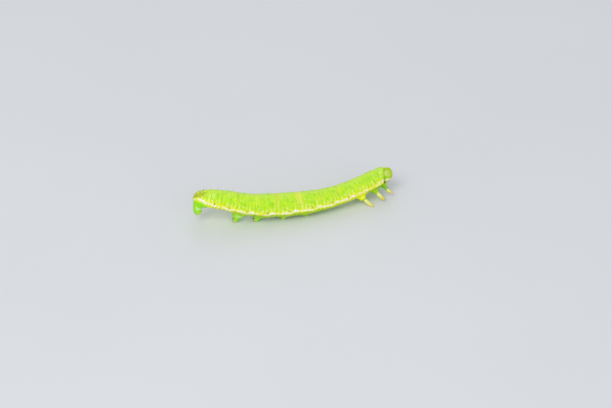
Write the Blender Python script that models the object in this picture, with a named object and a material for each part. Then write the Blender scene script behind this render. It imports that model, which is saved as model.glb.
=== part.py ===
# A green moth larva at life size, standing on its four middle pairs of prolegs.
# Units are metres. +Z is up, the head is towards +X, and the floor is at Z = 0.
import math

import bmesh
import bpy
import numpy as np
from mathutils import Matrix, Vector

MM = 0.001
GAP = 0.15 * MM  # kept between neighbouring pieces
SHARP_ANGLE = math.radians(40)

# Body segments from tail to head: name, length, radius (mm), pitch, heading (degrees), folds
SEGMENTS = (
    ("abdomen_10", 1.20, 1.14, 8.0, -16.0, 2),
    ("abdomen_9", 0.85, 1.29, 3.0, -16.0, 2),
    ("abdomen_8", 1.98, 1.33, -7.0, -16.0, 4),
    ("abdomen_7", 2.20, 1.47, -15.0, -15.5, 4),
    ("abdomen_6", 2.57, 1.51, -12.0, -12.0, 5),
    ("abdomen_5", 2.90, 1.66, -6.0, -7.0, 5),
    ("abdomen_4", 3.22, 1.70, -3.5, -3.5, 6),
    ("abdomen_3", 3.18, 1.63, -3.5, 1.5, 6),
    ("abdomen_2", 2.65, 1.51, 2.0, 7.0, 5),
    ("abdomen_1", 2.45, 1.42, 5.0, 11.0, 4),
    ("thorax_3", 2.15, 1.38, 8.5, 13.0, 4),
    ("thorax_2", 2.00, 1.37, 10.5, 14.0, 4),
    ("thorax_1", 1.20, 1.31, 4.0, 15.0, 3),
)
TAIL_TIP = Vector((-14.465, 1.4546, 3.57)) * MM
AXIS_STEP = 0.05  # mm, between samples of the body's axis
AXIS_SMOOTHING = 1.6  # mm, the length over which pitch, heading and radius are averaged

# The body's outer shape, in mm and degrees. Angles run from the middle of the back, 0, to the belly, 180.
TAIL_START, TAIL_ROUNDING = 0.02, 1.5  # of the last segment's blunt end
COLLAR_LENGTH, COLLAR_NARROWING = 0.70, 0.24  # where the first segment closes round the head
NECK_TURN, NECK_BOW = 28.0, 8.0  # of the neck to the right and down from the body's way
NECK_RADIUS = 1.03  # mm
CREASE_DEPTH, CREASE_WIDTH = 0.10, 0.17
FOLD_DEPTH, FOLD_WIDTH = 0.045, 0.11  # of the grooves between a segment's folds
FOLD_END, FOLD_FADE = 124.0, 14.0  # the grooves fade out above the belly
RIDGE_TAIL, RIDGE_HEAD = 114.0, 100.0  # angle of the ridge along the side, at either end
RIDGE_SPREAD, RIDGE_HEIGHT = 9.0, 0.07
RIDGE_NOTCH = 0.6  # share of its height that the ridge loses in a crease
BELLY_START, BELLY_FLATTENING = 125.0, 0.07
BODY_SIDES = 30
TAIL_RINGS = 10

# Stiff hairs on the back of each segment but the last: share of its length, angle and length (mm)
HAIRS = (
    (0.28, 14.0, 0.42),
    (0.70, 28.0, 0.50),
    (0.42, 60.0, 0.46),
)
HAIR_ROOT, HAIR_RADIUS, HAIR_TIP = 0.20, 0.045, 0.020
HAIR_LEAN = 0.2  # towards the tail
HAIR_SIDES = 3

# Prolegs that stand on the floor: segment, base along it, the foot's shift towards the head,
# its spread from the middle plane (mm), and how much longer its root is from front to back
PROLEGS = (
    ("abdomen_6", 0.48, -1.57, 0.38, 1.62),
    ("abdomen_5", 0.52, -1.47, 0.40, 1.62),
    ("abdomen_4", 0.36, -0.16, 0.44, 1.25),
    ("abdomen_3", 0.27, 0.22, 0.44, 1.25),
)
PROLEG_ANGLE = 150.0  # of the base, from the middle of the back
PROLEG_ROOT_DEPTH = 0.55  # how far the root starts under the skin
SWELLING = (0.16, 0.95, 24.0)  # at a leg's base: height, length (mm) and half angle
# Along a proleg, from root to sole: share of its length, half length and half width (mm)
PROLEG_SECTIONS = (
    (0.00, 0.80, 0.42),
    (0.18, 0.88, 0.46),
    (0.36, 0.80, 0.44),
    (0.54, 0.58, 0.38),
    (0.70, 0.42, 0.31),
    (0.84, 0.32, 0.27),
    (0.93, 0.37, 0.31),
    (1.00, 0.33, 0.27),
)
PROLEG_SIDES = 18

# The clasping prolegs of the last segment, held clear of the floor
CLASPER_PLACE, CLASPER_ANGLE = 0.64, 140.0
CLASPER_SPREAD, CLASPER_SHIFT, CLASPER_SOLE = 0.58, 0.02, 1.44
CLASPER_SECTIONS = (
    (0.00, 0.44, 0.40),
    (0.25, 0.60, 0.46),
    (0.45, 0.67, 0.47),
    (0.65, 0.66, 0.44),
    (0.82, 0.56, 0.38),
    (0.93, 0.47, 0.36),
    (1.00, 0.34, 0.27),
)
KNEE_HEIGHT, KNEE_LEAN = 0.45, 0.40  # shares of the root in the point that bends a proleg

# Thoracic legs: segment, base along it, the way from the base to the tip (mm), towards the head,
# outwards and down, the radius of the fleshy base, and its girth as a share of LEG_SECTIONS. None
# stands for a tip on the floor.
LEGS = (
    ("thorax_3", 0.43, 1.20, 1.88, None, 0.56, 0.94),
    ("thorax_2", 0.49, 0.76, 1.76, 0.80, 0.50, 0.92),
    ("thorax_1", 0.42, 0.77, 1.52, 0.66, 0.38, 0.80),
)
LEG_BASE_END, LEG_BASE_FADE = 0.34, 0.20  # share of a leg where its fleshy base ends
LEG_ANGLE = 150.0
LEG_ROOT_DEPTH = 0.35
LEG_ARCH = 0.42  # how far the leg's middle bows down and out
LEG_TIP_SUNK = 0.1  # share of a standing tip's radius that the floor cuts off
# Along a leg, from coxa to claw: share of its length and radius (mm), with its joints pinched
LEG_SECTIONS = (
    (0.00, 0.34),
    (0.14, 0.34),
    (0.25, 0.33),
    (0.30, 0.28),
    (0.36, 0.31),
    (0.50, 0.29),
    (0.54, 0.25),
    (0.60, 0.27),
    (0.72, 0.23),
    (0.77, 0.18),
    (0.83, 0.19),
    (0.93, 0.12),
    (1.00, 0.055),
)
LEG_SIDES = 14
CLAW_START, CLAW_BEND = 0.75, 0.10  # the tip's hook, towards the tail

# The head, in its own directions: forward, left and up (mm)
HEAD_HALF = (0.92, 1.08, 1.08)
HEAD_AHEAD, HEAD_RAISE = 0.32, 0.14  # of its middle, from the front of the first thorax segment
HEAD_PITCH = -34.0  # the face looks a little down
HEAD_SIDES, HEAD_RINGS = 28, 18
SUTURE_DEPTH, SUTURE_WIDTH = 0.11, 0.13
SUTURE_END, SUTURE_FADE = -0.1, 0.5  # where it stops on the brow, in shares of the half height
CHEEK_NARROWING = 0.16
NECK_CUTTER_SIZE = 4.0
STEMMA_RADIUS, STEMMA_RISE = 0.075, 0.015
# The six stemmata of a side: across and up over the head's half width and half height
STEMMATA = (
    (0.80, -0.14),
    (0.72, -0.24),
    (0.67, -0.36),
    (0.66, -0.49),
    (0.78, -0.58),
    (0.86, -0.42),
)
ANTENNA_BASE = (0.60, -0.70)
ANTENNA_LENGTH, ANTENNA_RADIUS, ANTENNA_TIP = 0.90, 0.20, 0.05
ANTENNA_ROOT, ANTENNA_LEAN = 0.15, 0.4  # depth of the root, and its lean to the front
LABRUM_HALF = (0.13, 0.31, 0.13)
LABRUM_PLACE = (0.66, 0.0, -0.70)
PALP_PLACE = (-0.06, 0.26, -0.98)  # of the left maxilla, with its palp
PALP_HALF = (0.17, 0.17, 0.32)
LABIUM_PLACE, LABIUM_HALF = (-0.12, 0.0, -0.98), (0.17, 0.15, 0.32)
SPINNERET_PLACE = (-0.10, 0.0, -1.24)
SPINNERET_LENGTH, SPINNERET_RADIUS, SPINNERET_TIP = 0.26, 0.055, 0.03
SPINNERET_LEAN = 0.35
MANDIBLE_PLACE = (0.46, 0.30, -0.98)
MANDIBLE_HALF = (0.21, 0.22, 0.36)
MANDIBLE_SIDES, MANDIBLE_RINGS = 14, 10

# Finishes: colour (linear), roughness
FINISHES = {
    "skin": ((0.30, 0.58, 0.04, 1.0), 0.45),
    "proleg_skin": ((0.28, 0.52, 0.06, 1.0), 0.50),
    "head_capsule": ((0.36, 0.58, 0.07, 1.0), 0.30),
    "leg_cuticle": ((0.66, 0.68, 0.22, 1.0), 0.32),
    "jaw": ((0.30, 0.14, 0.04, 1.0), 0.28),
}


# Segments and their borders along the axis

NAMES = [row[0] for row in SEGMENTS]
LENGTHS = np.array([row[1] for row in SEGMENTS])
BORDERS = np.concatenate([[0.0], np.cumsum(LENGTHS)])
BODY_LENGTH = BORDERS[-1]
MIDDLES = (BORDERS[:-1] + BORDERS[1:]) / 2
AXIS_AT = np.arange(-1.0, BODY_LENGTH + 2.0, AXIS_STEP)


def smooth_along_axis(column):
    """A column of SEGMENTS as a smooth series over AXIS_AT."""
    values = np.interp(AXIS_AT, MIDDLES, [row[column] for row in SEGMENTS])
    window = int(AXIS_SMOOTHING / AXIS_STEP) // 2 * 2 + 1
    padded = np.pad(values, window // 2, mode="edge")
    return np.convolve(padded, np.ones(window) / window, mode="valid")


RADII = smooth_along_axis(2)
PITCH = np.radians(smooth_along_axis(3))
HEADING = np.radians(smooth_along_axis(4))
TANGENTS = np.stack(
    [np.cos(PITCH) * np.cos(HEADING), np.cos(PITCH) * np.sin(HEADING), np.sin(PITCH)], axis=1
)
PATH = np.cumsum(TANGENTS, axis=0) * AXIS_STEP
PATH -= [np.interp(0.0, AXIS_AT, PATH[:, k]) for k in range(3)]


def place_on_axis(s):
    """The axis's point at s mm from the tail, in metres."""
    return TAIL_TIP + Vector([np.interp(s, AXIS_AT, PATH[:, k]) for k in range(3)]) * MM


def directions_at(s, nod=0.0, yaw=0.0):
    """Forward, left and up at s, pitched and turned further by nod and yaw degrees."""
    pitch = float(np.interp(s, AXIS_AT, PITCH)) + math.radians(nod)
    heading = float(np.interp(s, AXIS_AT, HEADING)) + math.radians(yaw)
    forward = Vector(
        (math.cos(pitch) * math.cos(heading), math.cos(pitch) * math.sin(heading), math.sin(pitch))
    )
    left = Vector((-math.sin(heading), math.cos(heading), 0.0))
    return forward, left, forward.cross(left)


def segment_place(name, share):
    """How far along the axis a share of the named segment is, in mm."""
    i = NAMES.index(name)
    return BORDERS[i] + share * LENGTHS[i]


def bell(distance, width):
    return math.exp(-((distance / width) ** 2))


def leg_bases():
    """Where each leg or proleg grows: place along the axis and angle from the back."""
    walking = [(segment_place(name, share), LEG_ANGLE) for name, share, *_ in LEGS]
    standing = [(segment_place(name, share), PROLEG_ANGLE) for name, share, *_ in PROLEGS]
    return walking + standing + [(CLASPER_PLACE, CLASPER_ANGLE)]


LEG_BASES = leg_bases()


def fold_grooves(i):
    """Places of the grooves between the folds of segment i, in mm along the axis."""
    count = SEGMENTS[i][5]
    return [BORDERS[i] + LENGTHS[i] * k / count for k in range(1, count)]


GROOVES = np.array([place for i in range(1, len(SEGMENTS)) for place in fold_grooves(i)])


def ramp(value):
    """0 below 0, 1 above 1, and a smooth step between."""
    value = min(1.0, max(0.0, value))
    return value * value * (3.0 - 2.0 * value)


def neck_slant(turn):
    """How much further than the axis, in mm, the body reaches at turn to meet the turned head."""
    sideways, down, a = math.radians(NECK_TURN), math.radians(NECK_BOW), math.radians(turn)
    slope = math.tan(sideways) * math.sin(a) + math.tan(down) / math.cos(sideways) * math.cos(a)
    return NECK_RADIUS * slope


def skin_radius(s, turn):
    """The body's radius in mm at s. turn runs from the back, 0, over the left side to 360."""
    angle = turn if turn <= 180.0 else 360.0 - turn
    radius = float(np.interp(s, AXIS_AT, RADII))
    if s < TAIL_ROUNDING:
        radius *= math.sqrt(max(0.0, 1.0 - (1.0 - s / TAIL_ROUNDING) ** 2))
    to_head = BODY_LENGTH + neck_slant(turn) - s
    collar = max(0.0, 1.0 - to_head / COLLAR_LENGTH)
    radius *= 1.0 - COLLAR_NARROWING * collar**2
    crease = bell(np.abs(BORDERS[1:-1] - s).min(), CREASE_WIDTH)
    radius -= CREASE_DEPTH * crease
    groove = bell(np.abs(GROOVES - s).min(), FOLD_WIDTH)
    radius -= FOLD_DEPTH * groove * ramp((FOLD_END - angle) / FOLD_FADE)
    along = min(1.0, s / TAIL_ROUNDING)
    ridge = RIDGE_TAIL + (RIDGE_HEAD - RIDGE_TAIL) * s / BODY_LENGTH
    height = RIDGE_HEIGHT * (1.0 - RIDGE_NOTCH * crease)
    radius += height * bell(angle - ridge, RIDGE_SPREAD) * along
    radius *= 1.0 - BELLY_FLATTENING * ramp((angle - BELLY_START) / (180.0 - BELLY_START))
    height, length, half_angle = SWELLING
    for place, base_angle in LEG_BASES:
        radius += height * along * bell(s - place, length) * bell(angle - base_angle, half_angle)
    return radius


def on_skin(s, turn, outwards=0.0):
    """A point of the skin at s and turn, or outwards of it."""
    _, left, up = directions_at(s)
    reach = skin_radius(s, turn) * MM + outwards
    a = math.radians(turn)
    return place_on_axis(s) + (left * math.sin(a) + up * math.cos(a)) * reach


# Making meshes


def link(obj, collection, finish=None):
    collection.objects.link(obj)
    if finish:
        obj.data.materials.append(finish)
    return obj


def loft(name, rings, collection, finish=None):
    """A closed solid through rings of points, each with as many points as the others."""
    mesh = bmesh.new()
    rows = [[mesh.verts.new(point) for point in ring] for ring in rings]
    count = len(rows[0])
    for low, high in zip(rows, rows[1:]):
        for k in range(count):
            mesh.faces.new((low[k], low[(k + 1) % count], high[(k + 1) % count], high[k]))
    mesh.faces.new(rows[0])
    mesh.faces.new(rows[-1])
    return finish_mesh(name, mesh, collection, finish)


def finish_mesh(name, mesh, collection, finish=None):
    """The bmesh as a smooth-shaded object with its faces pointing out."""
    bmesh.ops.recalc_face_normals(mesh, faces=mesh.faces)
    data = bpy.data.meshes.new(name)
    mesh.to_mesh(data)
    mesh.free()
    data.shade_smooth()
    data.set_sharp_from_angle(angle=SHARP_ANGLE)
    return link(bpy.data.objects.new(name, data), collection, finish)


def helper_collection(name):
    collection = bpy.data.collections.new(name)
    bpy.context.scene.collection.children.link(collection)
    return collection


def apply_modifiers(obj):
    """Gives obj the mesh that its modifiers make."""
    graph = bpy.context.evaluated_depsgraph_get()
    made = bpy.data.meshes.new_from_object(obj.evaluated_get(graph))
    made.set_sharp_from_angle(angle=SHARP_ANGLE)
    obj.modifiers.clear()
    obj.data = made


def keep_largest_shell(obj):
    """Drops every loose shell of obj but the one with the most volume."""
    mesh = bmesh.new()
    mesh.from_mesh(obj.data)
    mesh.faces.ensure_lookup_table()
    unseen = set(mesh.faces)
    shells = []
    while unseen:
        stack = [unseen.pop()]
        shell = list(stack)
        while stack:
            for edge in stack.pop().edges:
                for face in edge.link_faces:
                    if face in unseen:
                        unseen.remove(face)
                        shell.append(face)
                        stack.append(face)
        shells.append(shell)
    volumes = [
        abs(sum(f.calc_area() * f.normal.dot(f.calc_center_median()) for f in shell))
        for shell in shells
    ]
    kept = shells[volumes.index(max(volumes))]
    dropped = [face for shell in shells if shell is not kept for face in shell]
    bmesh.ops.delete(mesh, geom=dropped, context="FACES")
    mesh.to_mesh(obj.data)
    mesh.free()


def union_with(obj, pieces):
    """Joins a collection of closed pieces to obj and removes them."""
    joined = obj.modifiers.new("pieces", "BOOLEAN")
    joined.operation = "UNION"
    joined.operand_type = "COLLECTION"
    joined.collection = pieces
    joined.solver = "EXACT"
    apply_modifiers(obj)
    keep_largest_shell(obj)
    for piece in list(pieces.objects):
        bpy.data.objects.remove(piece)
    bpy.data.collections.remove(pieces)


def cut_with(obj, cutter):
    """Takes the cutter's space from obj and keeps what lies outside it."""
    cut = obj.modifiers.new("clearance", "BOOLEAN")
    cut.operation = "DIFFERENCE"
    cut.object = cutter
    cut.solver = "EXACT"
    apply_modifiers(obj)
    keep_largest_shell(obj)


def ellipse(middle, along, across, half_length, half_width, sides):
    """Points of an ellipse, in metres, from half sizes in mm."""
    return [
        middle
        + along * (half_length * MM * math.cos(2 * math.pi * k / sides))
        + across * (half_width * MM * math.sin(2 * math.pi * k / sides))
        for k in range(sides)
    ]


def bow(start, middle, end, share):
    """A point of the quadratic curve that leaves start towards middle and arrives at end."""
    return (
        start * (1 - share) ** 2 + middle * (2 * share * (1 - share)) + end * share**2
    )


# The body


def ring_places(i):
    """Where segment i has rings of points: its ends, and the crest and groove of each fold."""
    low, high = BORDERS[i] + GAP / MM / 2, BORDERS[i + 1] - GAP / MM / 2
    if i == 0:
        return list(np.linspace(TAIL_START, high, TAIL_RINGS))
    half_folds = 2 * SEGMENTS[i][5]
    inner = [BORDERS[i] + LENGTHS[i] * k / half_folds for k in range(1, half_folds)]
    return [low] + inner + [high]


def body_rings(places, outwards=0.0):
    """Rings of skin points at places, in mm along the axis."""
    turns = [360.0 * k / BODY_SIDES for k in range(BODY_SIDES)]
    rings = []
    for s in places:
        near_head = max(0.0, 1.0 - (BODY_LENGTH - s) / LENGTHS[-1])
        rings.append([on_skin(s + near_head * neck_slant(turn), turn, outwards) for turn in turns])
    return rings


def make_segment(i, collection, finish):
    segment = loft(NAMES[i], body_rings(ring_places(i)), collection, finish)
    if i > 0:
        add_hairs(segment, i)


def add_hairs(segment, i):
    """Fuses the hairs of segment i to its back, in pairs, with their roots sunk in."""
    hairs = helper_collection(f"hairs_{i}")
    for share, angle, length in HAIRS:
        s = BORDERS[i] + LENGTHS[i] * share
        for turn in (angle, 360.0 - angle):
            root = on_skin(s, turn, -HAIR_ROOT * MM)
            out = (on_skin(s, turn) - root).normalized()
            way = (out - directions_at(s)[0] * HAIR_LEAN).normalized()
            sizes = (HAIR_ROOT + length, HAIR_RADIUS, HAIR_TIP)
            cone_piece("hair", root, way, *sizes, hairs, sides=HAIR_SIDES)
    union_with(segment, hairs)


def make_body_cutter(collection):
    """The whole body, larger by the gap, which shapes the root of each leg."""
    places = [s for i in range(len(SEGMENTS)) for s in ring_places(i)]
    cutter = loft("body_clearance", body_rings(places, GAP), collection)
    cutter.hide_render = True
    cutter.display_type = "WIRE"
    return cutter


# Prolegs


def stretched(sections, stretch):
    """Sections made longer from front to back at the root, and less so towards the sole."""
    return [
        (along, long * (1.0 + (stretch - 1.0) * (1.0 - along**2)), wide)
        for along, long, wide in sections
    ]


def make_proleg(name, place, angle, sole, sections, side, cutter, collection, finish):
    """A proleg from under the skin at place to a flat sole centred at sole. side is 1 on the left."""
    turn = angle if side > 0 else 360.0 - angle
    forward, left, _ = directions_at(place)
    root = on_skin(place, turn, -PROLEG_ROOT_DEPTH * MM)
    over_sole = Vector((sole.x, sole.y, sole.z + (root.z - sole.z) * KNEE_HEIGHT))
    knee = over_sole.lerp(root, KNEE_LEAN)
    level = Vector((forward.x, forward.y, 0.0)).normalized()
    rings = [
        ellipse(bow(root, knee, sole, share), level, left, long, wide, PROLEG_SIDES)
        for share, long, wide in sections
    ]
    proleg = loft(name, rings, collection, finish)
    cut_with(proleg, cutter)
    return proleg


def foot_point(place, side, spread, height):
    """A point under the axis at place, spread mm to one side, at a height in mm."""
    _, left, _ = directions_at(place)
    axis = place_on_axis(place)
    beside = axis + left * (side * spread * MM)
    return Vector((beside.x, beside.y, height * MM))


# Thoracic legs


def make_leg(name, row, side, cutter, collection, finish):
    segment, share, ahead, outward, drop, base_radius, girth = row
    place = segment_place(segment, share)
    turn = LEG_ANGLE if side > 0 else 360.0 - LEG_ANGLE
    forward, left, up = directions_at(place)
    root = on_skin(place, turn, -LEG_ROOT_DEPTH * MM)
    start = on_skin(place, turn)
    tip = start + (forward * ahead + left * (side * outward)) * MM
    tip_radius = LEG_SECTIONS[-1][1] * girth
    tip.z = tip_radius * (1.0 - LEG_TIP_SUNK) * MM if drop is None else start.z - drop * MM
    knee = (root + tip) / 2 + (left * side - up) * (LEG_ARCH * MM)
    rings = []
    for place_on_leg, radius in LEG_SECTIONS:
        in_base = ramp((LEG_BASE_END - place_on_leg) / LEG_BASE_FADE)
        radius = radius * girth * (1.0 - in_base) + base_radius * in_base
        middle = bow(root, knee, tip, place_on_leg)
        hook = max(0.0, place_on_leg - CLAW_START) / (1.0 - CLAW_START)
        middle -= forward * (CLAW_BEND * MM * hook)
        along = (knee - root).lerp(tip - knee, place_on_leg).normalized()
        across = along.cross(up).normalized()
        rings.append(ellipse(middle, across, along.cross(across), radius, radius, LEG_SIDES))
    for ring in rings:
        for point in ring:
            point.z = max(point.z, 0.0)
    leg = loft(name, rings, collection, finish)
    cut_with(leg, cutter)
    return leg


# The head


class Head:
    """The head's own directions and middle."""

    def __init__(self):
        front = place_on_axis(BODY_LENGTH)
        neck_forward, _, neck_up = directions_at(BODY_LENGTH, -NECK_BOW, -NECK_TURN)
        self.front, self.neck_forward = front, neck_forward
        self.forward, self.left, self.up = directions_at(BODY_LENGTH, HEAD_PITCH, -NECK_TURN)
        self.middle = front + (neck_forward * HEAD_AHEAD + neck_up * HEAD_RAISE) * MM

    def at(self, forward, left, up):
        """A point of the head's space, given in mm."""
        step = self.forward * forward + self.left * left + self.up * up
        return self.middle + step * MM

    def on_capsule(self, across, high, outwards=0.0):
        """A point of the face: across and high are shares of the half width and half height."""
        depth = math.sqrt(max(0.0, 1.0 - across**2 - high**2))
        width = cheek_width(high)
        point = Vector((depth * HEAD_HALF[0], across * width * HEAD_HALF[1], high * HEAD_HALF[2]))
        normal = Vector(
            (depth / HEAD_HALF[0], across / (width * HEAD_HALF[1]), high / HEAD_HALF[2])
        ).normalized()
        point += normal * outwards
        return self.at(*point), self.forward * normal.x + self.left * normal.y + self.up * normal.z


def cheek_width(high):
    """The head narrows from its middle down to the mouth."""
    return 1.0 - CHEEK_NARROWING * max(0.0, -high) ** 1.5


def sphere_piece(name, place, half_sizes, head, collection, sides=12, rings=8):
    """An ellipsoid in the head's directions, with half sizes in mm."""
    mesh = bmesh.new()
    bmesh.ops.create_uvsphere(mesh, u_segments=sides, v_segments=rings, radius=1.0)
    for vert in mesh.verts:
        offset = [half * co for half, co in zip(half_sizes, vert.co)]
        vert.co = head.at(*(p + o for p, o in zip(place, offset)))
    return finish_mesh(name, mesh, collection)


def cone_piece(name, start, direction, length, radius, tip, collection, finish=None, sides=12):
    """A blunt cone from start along direction, with its sizes in mm."""
    mesh = bmesh.new()
    bmesh.ops.create_cone(
        mesh, cap_ends=True, segments=sides, radius1=radius * MM, radius2=tip * MM, depth=length * MM
    )
    turn = direction.to_track_quat("Z", "Y")
    for vert in mesh.verts:
        vert.co = start + turn @ (vert.co + Vector((0, 0, length * MM / 2)))
    return finish_mesh(name, mesh, collection, finish)


def make_capsule(name, head, collection, finish=None, outwards=0.0):
    """The head capsule: two rounded lobes with a suture between them down to the brow."""
    mesh = bmesh.new()
    bmesh.ops.create_uvsphere(mesh, u_segments=HEAD_SIDES, v_segments=HEAD_RINGS, radius=1.0)
    half = [size + outwards / MM for size in HEAD_HALF]
    for vert in mesh.verts:
        forward, left, up = vert.co
        shrink = 1.0
        if up > SUTURE_END:
            fade = min(1.0, (up - SUTURE_END) / SUTURE_FADE)
            shrink -= SUTURE_DEPTH * bell(left, SUTURE_WIDTH) * fade
        wide = cheek_width(up)
        vert.co = head.at(
            forward * half[0] * shrink, left * half[1] * wide, up * half[2] * shrink
        )
    return finish_mesh(name, mesh, collection, finish)


def make_head_cutter(head, collection):
    """The head capsule, larger by the gap, which shapes the roots of feelers and jaws."""
    cutter = make_capsule("head_clearance", head, collection, outwards=GAP)
    cutter.hide_render = True
    cutter.display_type = "WIRE"
    return cutter


def make_neck_cutter(head, collection):
    """A slab over the neck that trims the back of the head flat, a gap in front of the thorax."""
    mesh = bmesh.new()
    bmesh.ops.create_cube(mesh, size=NECK_CUTTER_SIZE * MM)
    cutter = finish_mesh("neck_clearance", mesh, collection)
    reach = GAP / 2 - NECK_CUTTER_SIZE * MM / 2
    turn = head.neck_forward.to_track_quat("Z", "Y").to_matrix().to_4x4()
    cutter.data.transform(Matrix.Translation(head.front) @ turn @ Matrix.Translation((0, 0, reach)))
    cutter.hide_render = True
    cutter.display_type = "WIRE"
    return cutter


def make_head(head, collection, cutters, finish):
    capsule = make_capsule("head", head, collection, finish)
    pieces = helper_collection("head_pieces")
    for side in (1, -1):
        for k, (across, high) in enumerate(STEMMATA):
            middle = head.on_capsule(side * across, high, STEMMA_RISE)[0]
            name = f"stemma_{side}_{k}"
            eye = sphere_piece(name, (0, 0, 0), (STEMMA_RADIUS,) * 3, head, pieces, 8, 6)
            eye.data.transform(Matrix.Translation(middle - head.middle))
        place = (PALP_PLACE[0], side * PALP_PLACE[1], PALP_PLACE[2])
        sphere_piece(f"maxilla_{side}", place, PALP_HALF, head, pieces)
    sphere_piece("labium", LABIUM_PLACE, LABIUM_HALF, head, pieces)
    sphere_piece("labrum", LABRUM_PLACE, LABRUM_HALF, head, pieces, 14, 8)
    way = (head.forward * SPINNERET_LEAN - head.up).normalized()
    sizes = (SPINNERET_LENGTH, SPINNERET_RADIUS, SPINNERET_TIP)
    cone_piece("spinneret", head.at(*SPINNERET_PLACE), way, *sizes, pieces, sides=8)
    union_with(capsule, pieces)
    cut_with(capsule, make_neck_cutter(head, cutters))
    for side in (1, -1):
        cut_with(capsule, make_socket_cutter(head, side, cutters))


def make_socket_cutter(head, side, collection):
    """A mandible larger by the gap, which hollows its seat in the head."""
    place = (MANDIBLE_PLACE[0], side * MANDIBLE_PLACE[1], MANDIBLE_PLACE[2])
    half = tuple(size + GAP / MM for size in MANDIBLE_HALF)
    name = f"mandible_clearance_{side}"
    cutter = sphere_piece(
        name, place, half, head, collection, MANDIBLE_SIDES, MANDIBLE_RINGS
    )
    cutter.hide_render = True
    cutter.display_type = "WIRE"
    return cutter


def make_antenna(head, side, cutter, collection, finish):
    """A short feeler beside the mouth that starts a gap away from the capsule."""
    middle, normal = head.on_capsule(side * ANTENNA_BASE[0], ANTENNA_BASE[1])
    way = (normal + head.forward * ANTENNA_LEAN).normalized()
    name = "antenna_left" if side > 0 else "antenna_right"
    start = middle - way * (ANTENNA_ROOT * MM)
    feeler = cone_piece(
        name, start, way, ANTENNA_LENGTH, ANTENNA_RADIUS, ANTENNA_TIP, collection, finish
    )
    cut_with(feeler, cutter)
    return feeler


def make_mandible(head, side, collection, finish):
    name = "mandible_left" if side > 0 else "mandible_right"
    place = (MANDIBLE_PLACE[0], side * MANDIBLE_PLACE[1], MANDIBLE_PLACE[2])
    jaw = sphere_piece(
        name, place, MANDIBLE_HALF, head, collection, MANDIBLE_SIDES, MANDIBLE_RINGS
    )
    jaw.data.materials.append(finish)


def make_finishes():
    made = {}
    for name, (colour, roughness) in FINISHES.items():
        material = bpy.data.materials.new(name)
        material.use_nodes = True
        shader = material.node_tree.nodes["Principled BSDF"]
        shader.inputs["Base Color"].default_value = colour
        shader.inputs["Roughness"].default_value = roughness
        shader.inputs["Metallic"].default_value = 0.0
        made[name] = material
    return made


def main():
    for obj in list(bpy.data.objects):
        bpy.data.objects.remove(obj)
    larva = helper_collection("green_moth_larva")
    cutters = helper_collection("cutters")
    finishes = make_finishes()

    for i in range(len(SEGMENTS)):
        make_segment(i, larva, finishes["skin"])

    body_cutter = make_body_cutter(cutters)
    for side, word in ((1, "left"), (-1, "right")):
        for name, share, shift, spread, stretch in PROLEGS:
            place = segment_place(name, share)
            sole = foot_point(place + shift, side, spread, 0.0)
            sections = stretched(PROLEG_SECTIONS, stretch)
            make_proleg(
                f"proleg_{name[8:]}_{word}", place, PROLEG_ANGLE, sole, sections,
                side, body_cutter, larva, finishes["proleg_skin"],
            )
        sole = foot_point(CLASPER_PLACE + CLASPER_SHIFT, side, CLASPER_SPREAD, CLASPER_SOLE)
        make_proleg(
            f"proleg_10_{word}", CLASPER_PLACE, CLASPER_ANGLE, sole, CLASPER_SECTIONS,
            side, body_cutter, larva, finishes["proleg_skin"],
        )
        for row in LEGS:
            name = f"leg_{row[0][7:]}_{word}"
            make_leg(name, row, side, body_cutter, larva, finishes["leg_cuticle"])

    head = Head()
    make_head(head, larva, cutters, finishes["head_capsule"])
    head_cutter = make_head_cutter(head, cutters)
    for side in (1, -1):
        make_antenna(head, side, head_cutter, larva, finishes["leg_cuticle"])
        make_mandible(head, side, larva, finishes["jaw"])


main()
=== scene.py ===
# The looks of a green moth larva: its skin, head, legs, hairs and finishes, on a pale floor.
# Shapes are worked out in millimetres and become metres as meshes. Angles are in degrees.
import math

import bmesh
import bpy
import numpy as np
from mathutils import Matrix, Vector, noise
from mathutils.bvhtree import BVHTree


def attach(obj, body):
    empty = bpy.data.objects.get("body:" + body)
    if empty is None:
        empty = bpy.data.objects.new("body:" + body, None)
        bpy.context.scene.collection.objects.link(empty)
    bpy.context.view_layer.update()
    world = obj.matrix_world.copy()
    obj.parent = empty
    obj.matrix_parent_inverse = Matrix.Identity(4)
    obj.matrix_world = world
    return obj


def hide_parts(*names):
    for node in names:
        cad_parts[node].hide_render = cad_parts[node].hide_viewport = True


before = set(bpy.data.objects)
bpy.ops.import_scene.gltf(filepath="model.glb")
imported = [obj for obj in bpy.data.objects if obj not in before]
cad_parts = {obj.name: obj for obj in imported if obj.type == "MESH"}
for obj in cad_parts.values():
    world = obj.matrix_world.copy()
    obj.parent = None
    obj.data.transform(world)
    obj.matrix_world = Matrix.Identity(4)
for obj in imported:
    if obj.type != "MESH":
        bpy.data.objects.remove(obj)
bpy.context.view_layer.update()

MM = 0.001
SEED = 11
SIDES = {1: "left", -1: "right"}

# The camera: the photograph's angle, in a frame of 612 by 408 pixels
VIEW_AZIMUTH, VIEW_ELEVATION = -16.0, 35.0
VIEW_LENS, VIEW_SENSOR = 142.47, 36.0
VIEW_DISTANCE = 343.9
VIEW_AIM = (1.857, 0.946, 0.0)

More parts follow.
